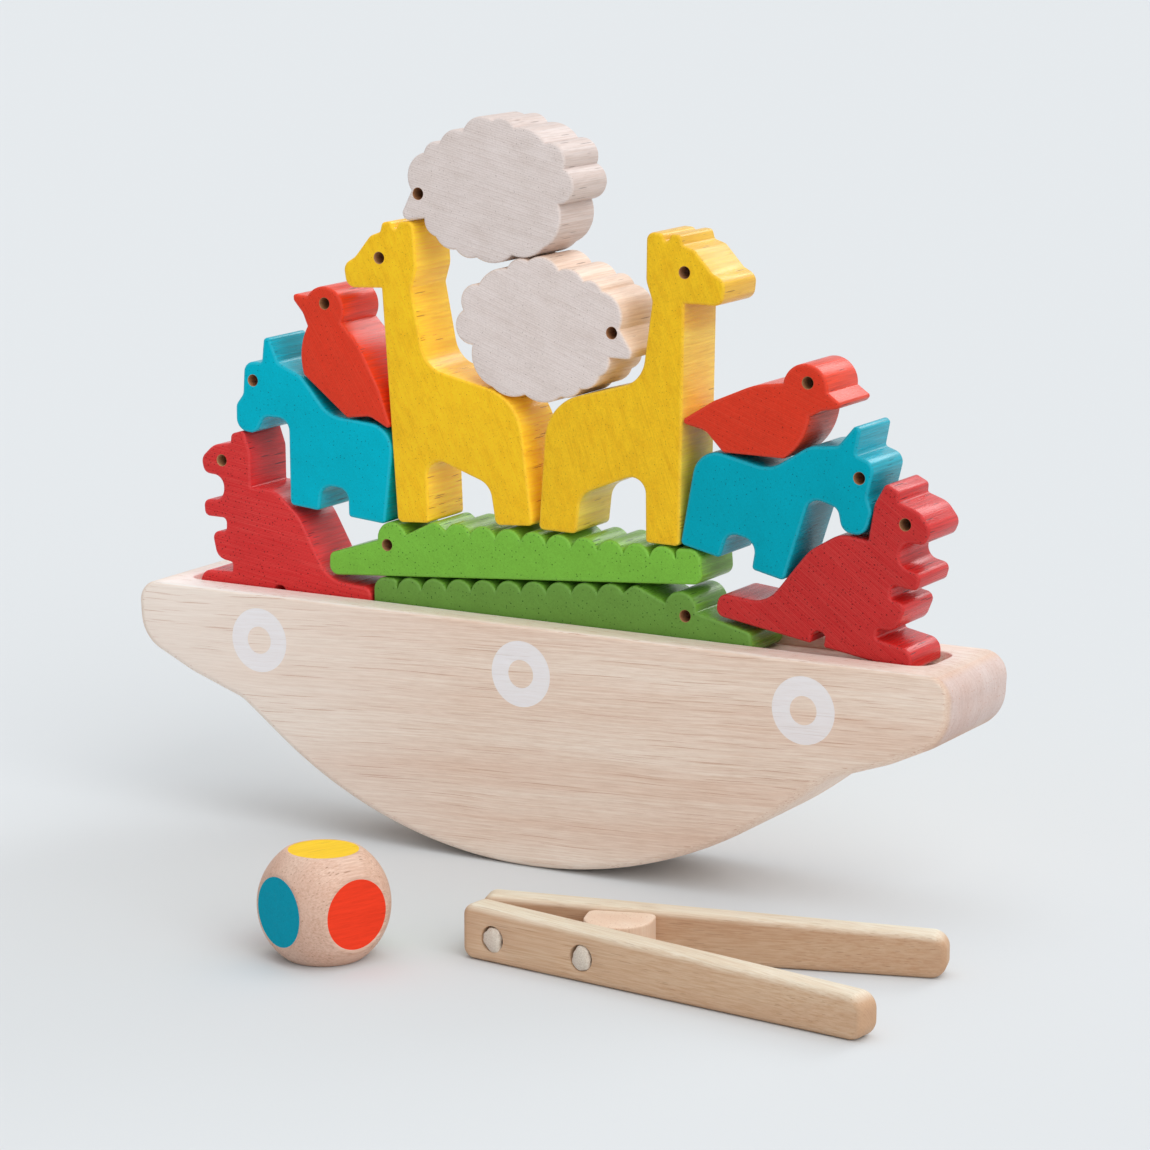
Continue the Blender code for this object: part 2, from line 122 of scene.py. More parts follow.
# Wood with its fibre along the middle axis of the grain attribute, in millimetres. Pores are round cells
# on a cut end and the same cells drawn out along the fibre on the sides, where they show as dashes.
# Rays are waves across one direction of the end, loosened by noise; streaks are noise drawn along the fibre.
def grainyWood(name, look):
    mat, tree, shader = newMaterial(name)

    def times(a, b):
        return calc(tree, "MULTIPLY", a, b)

    def stained(colour, share, key, blend="MULTIPLY"):
        return tint(tree, share, colour, fromScreen(look[key]), blend)

    grain = attribute(tree, "grain", "Vector")
    ends = attribute(tree, "endGrain", "Fac")
    along = calc(tree, "SUBTRACT", 1.0, ends)
    bend = noise(tree, stretched(tree, grain, look["waveScale"]), output=1)
    wave = (look["wave"], 0.0, look["wave"] * look["dip"])
    wavy = addNode(tree, "ShaderNodeVectorMath", {0: bend, 1: wave, 2: grain}, operation="MULTIPLY_ADD")
    wavy = wavy.outputs[0]
    colour = tint(tree, ends, fromScreen(look["side"]), fromScreen(look["end"]))
    # broad bands of the growth rings
    band = stretched(tree, wavy, (look["band"], look["bandRun"], look["band"]))
    band = noise(tree, band, detail=3.0, rough=0.6)
    colour = stained(colour, between(tree, band, *look["bandEdges"], 0.0, look["bandGain"]), "bandTint")
    # mottled patches where the stain sank deeper
    askew = (0.0, look["rayTurn"], 0.0)
    patch = stretched(tree, grain, (look["patch"], look["patchRun"], look["patch"] * look["patchDip"]), askew)
    patch = noise(tree, patch, detail=5.0, rough=0.65)
    colour = stained(colour, between(tree, patch, *look["patchEdges"], 0.0, look["patchGain"]), "patchTint")
    # rays on the ends, streaks along the sides
    across = stretched(tree, grain, (look["ray"], *look["rayRun"]), askew)
    ray = noise(tree, across, detail=1.0)
    line = addNode(tree, "ShaderNodeSeparateXYZ", {0: across}).outputs[0]
    line = calc(tree, "ADD", times(line, fullTurn), times(ray, look["rayLoose"]))
    line = between(tree, calc(tree, "SINE", line), *look["rayEdges"])
    rayMask = times(times(line, between(tree, ray, *look["rayFade"])), ends)
    colour = stained(colour, times(rayMask, look["rayGain"]), "rayTint", look["rayBlend"])
    streak = stretched(tree, wavy, (look["streak"], look["streakRun"], look["streak"]))
    streak = noise(tree, streak, detail=4.0, rough=0.65)
    streakMask = times(between(tree, streak, *look["streakEdges"]), along)
    colour = stained(colour, times(streakMask, look["streakGain"]), "streakTint")
    # fine speckle of the cut fibres
    speck = noise(tree, stretched(tree, grain, look["speck"]), detail=3.0, rough=0.75)
    colour = stained(colour, between(tree, speck, *look["speckEdges"], 0.0, look["speckGain"]), "speckTint")
    if "paintedLeftLightTint" in look:
        # painted light: the board is painted paler towards its left end, standing in for the stronger light
        # that falls there
        place = addNode(tree, "ShaderNodeSeparateXYZ", {0: grain}).outputs[1]
        pale = between(tree, place, *look["paintedLeftLightRun"], 0.0, look["paintedLeftLightGain"])
        colour = stained(colour, pale, "paintedLeftLightTint", "MIX")
    if "burnishTint" in look:
        # browner where a rim turns from long grain to end grain
        colour = stained(colour, times(times(ends, along), look["burnish"]), "burnishTint")
    # open pores: dots on the ends, dashes along the sides
    dots = stretched(tree, wavy, (look["dot"], look["dot"], 1.0), (90.0, 0.0, 0.0))
    dashes = stretched(tree, wavy, (look["dash"], look["dashRun"], look["dash"]))
    masks = []
    for kind, vector, plane, share in (("dot", dots, "2D", ends), ("dash", dashes, "3D", along)):
        size, miss, soft = look[kind + "Size"], look[kind + "Miss"], look[kind + "Soft"]
        cell = cells(tree, vector, plane)
        pick = addNode(tree, "ShaderNodeSeparateColor", {0: cell.outputs["Color"]}).outputs[0]
        reach = between(tree, pick, miss, 1.0, 0.0, size)
        spot = between(tree, calc(tree, "SUBTRACT", reach, cell.outputs["Distance"]), 0.0, soft * size)
        masks.append(times(spot, share))
    pores = calc(tree, "ADD", *masks, clamp=True)
    colour = stained(colour, times(pores, look["poreGain"]), "poreTint", "MIX")
    # a per-point tint multiplied over the wood: the piece's own colour variation together with painted light
    # and painted shade on tops, sides and faces
    toneAndLight = attribute(tree, "toneAndLight", "Color")
    plug(tree, shader.inputs["Base Color"], tint(tree, 1.0, colour, toneAndLight, "MULTIPLY"))
    # satin along the grain, duller and rougher on the ends
    gloss = calc(tree, "ADD", times(ends, look["endRough"] - look["sideRough"]), look["sideRough"])
    gloss = calc(tree, "ADD", gloss, between(tree, streak, *look["streakRough"]))
    plug(tree, shader.inputs["Roughness"], gloss)
    shader.inputs["Specular IOR Level"].default_value = look["specular"]
    height = calc(tree, "ADD", times(rayMask, look["rayRise"]), times(streakMask, -look["streakSink"]))
    height = calc(tree, "SUBTRACT", height, times(pores, look["poreSink"]))
    setBump(tree, shader, height, look["bump"], look["bumpDepth"])
    return mat


def withLook(base, **changes):
    return {**base, **changes}


# edgeShare is the most of an edge that one corner's arc takes, rimShare the rim's depth per radius of an
# outward bend, freeRoom stands for no limit, in millimetres, and leastLean keeps sharp corners from running
# far out
pathSpec = {"edgeShare": 0.48, "rimShare": 0.85, "freeRoom": 99.0, "leastLean": 0.5}


# Outline through corners (x, z, r, bow). Where r > 0 the two edges meet in an arc of that radius,
# tangent to both; a bow turns the edge that follows into an arc standing out that far at its middle.
# Comes with how round the rim may get at each point without crossing itself.
def cornerPath(corners, turnStep=6.0, spacing=1.5):
    spots = np.array([c[:2] for c in corners], float)
    ahead = np.roll(spots, -1, 0)
    area = np.sum(spots[:, 0] * ahead[:, 1] - ahead[:, 0] * spots[:, 1])
    out = 1.0 if area > 0 else -1.0
    runs, room = [], []
    most, rimShare, free = pathSpec["edgeShare"], pathSpec["rimShare"], pathSpec["freeRoom"]
    for i, corner in enumerate(corners):
        p, r = spots[i], corner[2]
        bow = corner[3] if len(corner) > 3 else 0.0
        a, b = spots[i - 1] - p, ahead[i] - p
        la, lb = np.hypot(*a), np.hypot(*b)
        a, b = a / la, b / lb
        if r > 0:
            half = 0.5 * np.arccos(np.clip(a @ b, -1, 1))
            cut = min(r / np.tan(half), most * la, most * lb)
            r = cut * np.tan(half)
            centre = p + (a + b) / np.hypot(*(a + b)) * r / np.sin(half)
            first, last = p + a * cut - centre, p + b * cut - centre
            start = np.arctan2(first[1], first[0])
            turn = (np.arctan2(last[1], last[0]) - start + np.pi) % (2 * np.pi) - np.pi
            count = int(max(2, np.degrees(abs(turn)) / turnStep, r * abs(turn) / spacing)) + 1
            angle = start + turn * np.linspace(0, 1, count)
            runs.append(centre + r * np.stack([np.cos(angle), np.sin(angle)], 1))
            room.append(np.full(count, rimShare * r if turn * out > 0 else free))
        else:
            runs.append(p[None])
            room.append(np.array([free]))
        if bow:
            ring = (lb * lb / 4 + bow * bow) / (2 * bow)
            half = 2 * np.arctan(2 * bow / lb)
            count = int(max(4, 2 * np.degrees(half) / turnStep, 2 * ring * half / spacing))
            angle = half * (2 * np.arange(1, count) / count - 1)
            lift = out * (ring * np.cos(angle) - ring + bow)
            runs.append(p + np.outer(lb / 2 + ring * np.sin(angle), b) + np.outer(lift, (b[1], -b[0])))
            room.append(np.full(count - 1, rimShare * ring))
    path, room = np.concatenate(runs), np.concatenate(room)
    if area < 0:
        path, room = path[::-1], room[::-1]
    # long straight stretches are cut into even steps
    step = np.roll(path, -1, 0) - path
    parts = np.maximum(1, np.ceil(np.hypot(*step.T) / spacing).astype(int))
    which = np.repeat(np.arange(len(path)), parts)
    share = (np.arange(parts.sum()) - np.repeat(np.cumsum(parts) - parts, parts)) / parts[which]
    room = np.where(share > 0, np.maximum(room[which], np.roll(room, -1)[which]), room[which])
    return path[which] + share[:, None] * step[which], room


# Inward direction at each point, long enough that both edges beside it move in by one.
def inward(path):
    edge = np.roll(path, -1, 0) - path
    edge = edge / np.hypot(*edge.T)[:, None]
    normal = np.stack([-edge[:, 1], edge[:, 0]], 1)
    before = np.roll(normal, 1, 0)
    lean = np.maximum(pathSpec["leastLean"], 1 + np.sum(normal * before, 1))
    return (normal + before) / lean[:, None]


# Quarter round from a face to the side next to it: how far each row stands in from that side, and how
# far down from the face
def quarterRound(depth, steps):
    angle = np.linspace(0, np.pi / 2, steps + 1)[:, None]
    return depth * (1 - np.sin(angle)), depth * (1 - np.cos(angle))


# 0 up to start, 1 past start + width, and straight between
def ramp(value, start, width):
    return np.clip((value - start) / width, 0, 1)


# Turn by an angle in the plane of two directions, from the first towards the second
def swung(a, b, angle):
    return a * np.cos(angle) - b * np.sin(angle), a * np.sin(angle) + b * np.cos(angle)


# A move, a turn about the upright axis, then a set-down at a spot of the floor plan
def setAt(spot, yaw, shift=(0.0, 0.0, 0.0)):
    def place(spots):
        x, y, z = (spots + np.array(shift)).T
        x, y = swung(x, y, yaw)
        return np.stack([spot[0] + x, spot[1] + y, z], 1)
    return place


# Quads of a grid of rows whose last column joins the first
def gridFaces(rows, cols):
    j, i = np.meshgrid(np.arange(rows - 1), np.arange(cols), indexing="ij")
    k = (i + 1) % cols
    low, high = j * cols, (j + 1) * cols
    return np.stack([low + i, low + k, high + k, high + i], -1).reshape(-1, 4)


# Triangles of a flat face between loops of points, with loose points inside it where they are given;
# triangles whose middle lies in a hole (x, z, r) are dropped.
def flatFill(loops, holes=(), loose=()):
    points = np.concatenate([*loops, np.reshape(loose, (-1, 2))])
    sizes = [len(loop) for loop in loops]
    starts = np.cumsum([0] + sizes[:-1])
    edges = [s + np.stack([np.arange(n), (np.arange(n) + 1) % n], 1) for s, n in zip(starts, sizes)]
    edges = np.concatenate(edges).tolist()
    filled = delaunay_2d_cdt(list(map(Vector, points.tolist())), edges, [], 1, fillWithin)
    spots, faces = np.array(filled[0]), np.array(filled[2])
    middle = spots[faces].mean(1)
    keep = np.ones(len(faces), bool)
    for x, z, r in holes:
        keep &= np.hypot(middle[:, 0] - x, middle[:, 1] - z) > r
    return spots, faces[keep], middle[keep]


def circle(x, z, r, count=40):
    angle = np.linspace(0, 2 * np.pi, count, endpoint=False)
    return np.stack([x + r * np.cos(angle), z + r * np.sin(angle)], 1)


# Gathers points and faces with a kind for each face; a grid's rows are joined by quads.
class Patchwork:
    def __init__(self):
        self.verts, self.faces, self.kinds = [], [], []
        self.total = 0

    def add(self, verts, faces, kind):
        self.verts.append(np.asarray(verts, float))
        self.faces += (np.asarray(faces) + self.total).tolist()
        self.kinds.append(np.broadcast_to(kind, len(faces)))
        self.total += len(verts)

    def grid(self, points, kind, keep=None):
        faces = gridFaces(*points.shape[:2])
        self.add(points.reshape(-1, 3), faces if keep is None else faces[keep], kind)


def spotsOf(mesh):
    spots = np.empty(len(mesh.vertices) * 3)
    mesh.vertices.foreach_get("co", spots)
    return spots.reshape(-1, 3)


# Turns a patchwork into a piece: points merged, faces outwards, flat where their kind is in flats, and
# placed in the world last. The mesh carries grain, the millimetre position in the board, endGrain, how far
# the face cuts the fibre, and a tint laid over the wood there, which holds the piece's own colour together
# with painted light and painted shade.
def makePiece(name, body, patches, finishes, kindMats, flats, grainOf, place, sharp=40.0):
    mesh = bpy.data.meshes.new(name)
    verts, kinds = np.concatenate(patches.verts), np.concatenate(patches.kinds)
    mesh.from_pydata((verts * mm).tolist(), [], patches.faces)
    mesh.polygons.foreach_set("material_index", np.array(kindMats)[kinds])
    mesh.polygons.foreach_set("use_smooth", ~np.isin(kinds, flats))
    bm = bmesh.new()
    bm.from_mesh(mesh)
    bmesh.ops.remove_doubles(bm, verts=bm.verts, dist=mergeWithin * mm)
    bmesh.ops.recalc_face_normals(bm, faces=bm.faces)
    bm.to_mesh(mesh)
    bm.free()
    for finish in finishes:
        mesh.materials.append(finish)
    spots = spotsOf(mesh) / mm
    grain, ends, toneAndLight = grainOf(spots)
    toneAndLight = np.broadcast_to(toneAndLight, (len(ends), 3))
    for label, kind, field, values in (("grain", "FLOAT_VECTOR", "vector", grain),
                                       ("endGrain", "FLOAT", "value", ends),
                                       ("toneAndLight", "FLOAT_VECTOR", "vector", toneAndLight)):
        layer = mesh.attributes.new(label, kind, "POINT")
        layer.data.foreach_set(field, values.astype("f4").ravel())
    mesh.vertices.foreach_set("co", (place(spots) * mm).ravel())
    mesh.set_sharp_from_angle(angle=np.radians(sharp))
    mesh.update()
    piece = bpy.data.objects.new(name, mesh)
    scene.collection.objects.link(piece)
    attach(piece, body)
    return piece


# Board cut to an outline: the rim is a quarter round of the given depth carried along the outline on both
# faces, the sides run straight between, and bores (x, z, [(y, r), ...]) are rings carried through. leave
# marks the outline's edges whose straight side is left out. Kinds of face: 0 rim and sides, 1 front, 2 back,
# 3 bores, 4 prints.
def boardPatches(path, room, thick, rim, bores=(), rimSteps=5, prints=(), leave=None):
    patches = Patchwork()
    moved, drop = quarterRound(np.minimum(rim, room)[None, :], rimSteps)
    level = thick / 2 - drop
    flat = path[None] + moved[..., None] * inward(path)[None]
    front = np.stack([flat[..., 0], -level, flat[..., 1]], -1)
    back = np.stack([flat[..., 0], level, flat[..., 1]], -1)[::-1]
    rows = np.repeat(np.arange(2 * rimSteps + 1), len(path))
    keep = None if leave is None else ~((rows == rimSteps) & np.tile(leave, 2 * rimSteps + 1))
    patches.grid(np.concatenate([front, back]), 0, keep=keep)
    for side, kind in ((-1, 1), (1, 2)):
        holes = [(x, z, steps[0 if side < 0 else -1][1]) for x, z, steps in bores]
        loops = [flat[0]] + [circle(*hole) for hole in holes]
        if side < 0:
            loops += [circle(*ring, count=80) for ring in prints]
        spots, faces, middle = flatFill(loops, holes)
        kinds = np.full(len(faces), kind)
        for outer, inner in zip(prints[0::2], prints[1::2]):
            gone = np.hypot(middle[:, 0] - outer[0], middle[:, 1] - outer[1])
            kinds[(side < 0) & (gone < outer[2]) & (gone > inner[2])] = 4
        patches.add(np.insert(spots, 1, side * thick / 2, 1), faces, kinds)
    for x, z, steps in bores:
        rings = np.array([np.insert(circle(x, z, r), 1, y, 1) for y, r in steps])
        patches.grid(rings, 3)
    return patches


plainStain = {
    "wave": 2.0, "waveScale": (0.035, 0.012, 0.035), "dip": 1.0,
    "band": 0.07, "bandRun": 0.004, "bandEdges": (0.34, 0.66), "bandGain": 0.2, "bandTint": (228, 222, 216),
    "patch": 0.3, "patchRun": 0.03, "patchDip": 0.4, "patchEdges": (0.42, 0.7), "patchGain": 0.2,
    "patchTint": (222, 216, 210),
    "ray": 1.55, "rayRun": (0.03, 0.05), "rayTurn": 45.0, "rayLoose": 8.0, "rayEdges": (-0.6, 1.0),
    "rayFade": (0.3, 0.6, 0.35, 1.0), "rayGain": 0.15, "rayTint": (215, 215, 215), "rayBlend": "MULTIPLY",
    "streak": 1.7, "streakRun": 0.03, "streakEdges": (0.4, 0.64), "streakGain": 0.5,
    "streakTint": (176, 170, 165),
    "speck": (1.9, 0.12, 1.9), "speckEdges": (0.4, 0.66), "speckGain": 0.4, "speckTint": (218, 216, 214),
    "dot": 0.74, "dotSize": 0.17, "dotMiss": 0.25, "dotSoft": 0.5,
    "dash": 1.4, "dashRun": 0.085, "dashSize": 0.32, "dashMiss": 0.3, "dashSoft": 0.25, "poreGain": 0.85,
    "sideRough": 0.28, "endRough": 0.6, "streakRough": (0.3, 0.7, -0.05, 0.07), "specular": 0.12,
    "bump": 0.5, "bumpDepth": 0.05, "rayRise": 0.3, "streakSink": 0.6, "poreSink": 1.2,
}
stainLooks = {
    "yellow": dict(end=(255, 206, 38), side=(255, 213, 66), poreTint=(150, 100, 20), poreGain=0.7, dot=0.85,
                   dotSize=0.16, ray=2.2, rayTurn=20.0, rayTint=(205, 185, 150), rayLoose=14.0, rayGain=0.26,
                   patch=0.4, patchGain=0.45, patchTint=(232, 208, 175), bandGain=0.1,
                   streakTint=(225, 200, 175)),
    "teal": dict(end=(0, 180, 203), side=(0, 182, 205), poreTint=(0, 84, 104), poreGain=0.8, rayGain=0.08,
                 patchTint=(225, 232, 232), specular=0.06),
    "crimson": dict(end=(206, 44, 46), side=(222, 44, 42), poreTint=(84, 10, 16), dot=0.82, dotSize=0.23,
                    dotMiss=0.05, ray=2.4, rayTurn=64.0, rayTint=(228, 98, 90), rayBlend="MIX",
                    rayLoose=10.0, rayGain=0.4),
    "vermilion": dict(end=(232, 60, 36), side=(246, 70, 34), poreTint=(110, 14, 10), dotSize=0.15, ray=1.8,
                      rayTurn=70.0, rayTint=(238, 108, 80), rayBlend="MIX", rayGain=0.2),
    "green": dict(end=(132, 200, 72), side=(142, 206, 72), poreTint=(40, 84, 24), dotSize=0.2, rayGain=0.08),
    "deepGreen": dict(end=(113, 160, 70), side=(124, 180, 66), poreTint=(34, 70, 22), dotSize=0.2,
                      rayGain=0.08),
    "fleece": dict(end=(246, 234, 230), side=(242, 228, 220), poreTint=(130, 108, 98), poreGain=0.65,
                   dotSize=0.13, ray=1.5, rayTurn=70.0, rayTint=(222, 211, 206), rayLoose=7.0, rayGain=0.4,
                   patchGain=0.3, sideRough=0.45, streakTint=(228, 210, 198)),
}
sideSpecular = 0.28
stains, mats = {}, {}
for key, changes in stainLooks.items():
    stains[key] = withLook(plainStain, **changes)
    mats[key + "Ends"] = grainyWood(key + "Ends", stains[key])
    mats[key + "Sides"] = grainyWood(key + "Sides", withLook(stains[key], specular=sideSpecular))
bareWood = withLook(plainStain, side=(255, 240, 226), poreTint=(172, 112, 78), poreGain=0.68, wave=7.0,
                    dash=2.5, dashRun=0.022, dashSize=0.33, dashMiss=0.2,
                    band=0.06, bandRun=0.003, bandGain=0.75, bandTint=(242, 226, 218),
                    streak=2.4, streakRun=0.02, streakGain=0.25, streakTint=(230, 210, 196),
                    patchGain=0.15, patchTint=(238, 228, 220), rayGain=0.2, speckGain=0.35,
                    speckTint=(236, 228, 222), sideRough=0.5, specular=0.25)
woodLooks = {
    "bareRubberwood": dict(end=(219, 201, 195), wave=4.0, dip=0.06, dash=4.2, dashSize=0.36, dashMiss=0.42,
                           poreTint=(190, 122, 84), poreGain=0.75, ray=0.5, rayTurn=90.0, rayLoose=11.0,
                           rayTint=(224, 214, 209), streakGain=0.45, speckGain=0.6,
                           burnish=1.4, burnishTint=(226, 196, 160),
                           # painted light: paler towards the left end of the hull, where more light falls
                           paintedLeftLightTint=(255, 245, 236), paintedLeftLightGain=0.6, paintedLeftLightRun=(-20.0, -120.0)),
    "printedWhite": dict(side=(251, 249, 252), end=(251, 249, 252), poreGain=0.15, bandGain=0.15,
                         streakGain=0.1, patchGain=0.08, speckGain=0.2),
    "drilledEye": dict(side=(176, 130, 92), end=(176, 130, 92)),
    "dieWood": dict(side=(236, 209, 192), end=(222, 190, 172), wave=3.0, poreTint=(150, 108, 84), dash=1.6,
                    dashRun=0.1, dot=0.9, dotSize=0.22, streakGain=0.6, speckGain=0.5,
                    speckTint=(214, 196, 182)),
    "blockWood": dict(side=(236, 212, 188), end=(246, 226, 206), wave=2.0),
    "tongsWood": dict(side=(224, 197, 167), end=(202, 168, 136), wave=3.0, poreTint=(158, 112, 78),
                      poreGain=0.42, streakGain=0.5, streakTint=(226, 202, 178)),
}
for name, changes in woodLooks.items():
    mats[name] = grainyWood(name, withLook(bareWood, **changes))
discColours = {"yellow": (255, 212, 56), "teal": (0, 158, 184), "vermilion": (245, 67, 40),
               "green": (112, 174, 62), "crimson": (196, 44, 50), "fleece": (226, 220, 216)}
discPaint = dict(poreGain=0.3, streakGain=0.03, rayGain=0.03, bandGain=0.05, patchGain=0.2, speckGain=0.35,
                 sideRough=0.5, endRough=0.5, specular=0.04)
for key, colour in discColours.items():
    disc = "disc" + key.capitalize()
    mats[disc] = grainyWood(disc, withLook(stains[key], end=colour, side=colour, **discPaint))


# Cotton: off-white, matt, with fine fibres as short noise drawn out along the strand.
def cottonYarn(name, look):
    mat, tree, shader = newMaterial(name)
    grain = attribute(tree, "grain", "Vector")
    fibre = stretched(tree, grain, look["fibre"], look["fibreTurn"])
    fibre = noise(tree, fibre, detail=4.0, rough=0.7, twist=0.6)
    colour = tint(tree, between(tree, fibre, *look["fibreEdges"]), fromScreen(look["shade"]),
                  fromScreen(look["light"]))
    plug(tree, shader.inputs["Base Color"], colour)
    for socket in ("Roughness", "Specular IOR Level", "Sheen Weight"):
        shader.inputs[socket].default_value = look[socket]
    setBump(tree, shader, fibre, look["bump"], look["bumpDepth"])
    return mat


mats["cotton"] = cottonYarn("cottonYarn", {
    "shade": (198, 184, 168), "light": (230, 220, 207), "fibre": (3.2, 1.4, 3.2),
    "fibreTurn": (20.0, 0.0, 35.0), "fibreEdges": (0.35, 0.65), "bump": 0.7, "bumpDepth": 0.12,
    "Roughness": 0.95, "Specular IOR Level": 0.2, "Sheen Weight": 0.25})
print("finishes made:", len(mats))

# Boat
hullSpec = {
    "rockerRadius": 142.0, "rockerTurn": 37.2, "half": 136.9, "height": 72.3, "depth": 40.0,
    "edge": 2.8, "rimEdge": 1.2, "recessHalf": 124.9, "recessSide": 10.6, "recessDepth": 3.6,
    "recessCorner": 6.0, "lip": 0.5, "lipSlack": 0.02, "edgeFade": 8.0,
    "hollow": (13.2, 9.9, 9.5), "belly": (19.5, 16.2, 25.0), "prow": (0.8, 25.0, 12.2), "rimCorner": 7.5,
    # the top tint is painted light: the top and its upper rim painted paler, a highlight where light falls
    # from above
    "endCut": 9.0, "endFade": 6.0, "faceFade": 1.6, "paintedTopLight": (0.99, 1.07, 1.14),
    "fibreClimb": 0.05, "fibreBend": 0.00004, "fibreShift": 40.0,
    "rings": [(-91.65, 58.0), (0.0, 58.0), (91.65, 58.0)], "ringOuter": 9.81, "ringInner": 4.17,
}


# Board surface with the top between the rims left out, where the recess mouth is cut instead.
# The recess is its mouth loop carried down: out by the lip at the top, then straight to the floor.
# Kinds of face beyond the board's own: 5 top and recess floor, 6 recess wall.
def buildHull(spec):
    turn = np.radians(spec["rockerTurn"])
    endX = spec["rockerRadius"] * np.sin(turn)
    endZ = spec["rockerRadius"] * (1 - np.cos(turn))
    half, top = spec["half"], spec["height"]
    right = [(endX, endZ, 0.0), (endX + spec["hollow"][0], endZ + spec["hollow"][1], spec["hollow"][2])]
    right += [(half - back, endZ + up, r) for back, up, r in (spec["belly"], spec["prow"])]
    right.append((half, top, spec["rimCorner"]))
    left = [(-x, z, r) for x, z, r in right[::-1]]
    left[-1] = (-endX, endZ, 0.0, endZ)
    path, room = cornerPath(right + left, spacing=2.0)
    below = ramp(top - path[:, 1], 0.0, spec["edgeFade"])
    rim = spec["rimEdge"] + (spec["edge"] - spec["rimEdge"]) * below
    prints = [(x, z, r) for x, z in spec["rings"] for r in (spec["ringOuter"], spec["ringInner"])]
    level = np.abs(path[:, 1] - top) < tiny
    patches = boardPatches(path, room, spec["depth"], rim, rimSteps=6, prints=prints,
                           leave=level & np.roll(level, -1))
    run = path[level]
    run = run[np.argsort(run[:, 0])]
    edgeY = spec["depth"] / 2 - spec["rimEdge"]
    brim = np.concatenate([np.stack([run[:, 0], np.full(len(run), -edgeY)], 1),
                           np.stack([run[::-1, 0], np.full(len(run), edgeY)], 1)])
    length, side, bend = spec["recessHalf"], spec["recessSide"], spec["recessCorner"]
    mouth, _ = cornerPath([(-length, -side, bend), (length, -side, bend), (length, side, bend),
                           (-length, side, bend)], spacing=4.0)
    out, drop = quarterRound(spec["lip"], 3)
    lip = mouth[None] - out[..., None] * inward(mouth)[None]
    rings = [np.insert(ring, 2, top - down, 1) for ring, down in zip(lip, drop[:, 0])]
    rings.append(np.insert(mouth, 2, top - spec["recessDepth"], 1))
    spots, faces, middle = flatFill([brim, lip[0]])
    inside = (np.abs(middle[:, 0]) < length + spec["lip"]) & (np.abs(middle[:, 1]) < side + spec["lip"])
    past = np.hypot(np.maximum(0, np.abs(middle[:, 0]) - length + bend),
                    np.maximum(0, np.abs(middle[:, 1]) - side + bend))
    corner = past > bend + spec["lip"] - spec["lipSlack"]
    patches.add(np.insert(spots, 2, top, 1), faces[~inside | corner], 5)
    patches.grid(np.array(rings), 6)
    spots, faces, _ = flatFill([mouth])
    patches.add(np.insert(spots, 2, top - spec["recessDepth"], 1), faces, 5)

    def grainOf(spots):
        x, y, z = spots.T
        ends = ramp(np.abs(x), half - spec["endCut"], spec["endFade"])
        ends *= ramp(spec["depth"] / 2 - np.abs(y), 0.0, spec["faceFade"])
        # painted light: points at the top are painted paler as a highlight from the light above
        toneAndLight = np.where((z > top - spec["lip"])[:, None], spec["paintedTopLight"], (1.0, 1.0, 1.0))
        up = z - spec["fibreClimb"] * x + spec["fibreShift"]
        return np.stack([up, x, y + spec["fibreBend"] * x ** 2], 1), ends, toneAndLight

    piece = makePiece("boatHull", "hull", patches,
                      [mats["bareRubberwood"], mats["printedWhite"]], [0, 0, 0, 0, 1, 0, 0], [1, 2, 4, 5],
                      grainOf, lambda spots: spots)
    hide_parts("hull")
    return piece


hull = buildHull(hullSpec)
print("hull made:", len(hull.data.polygons), "faces")

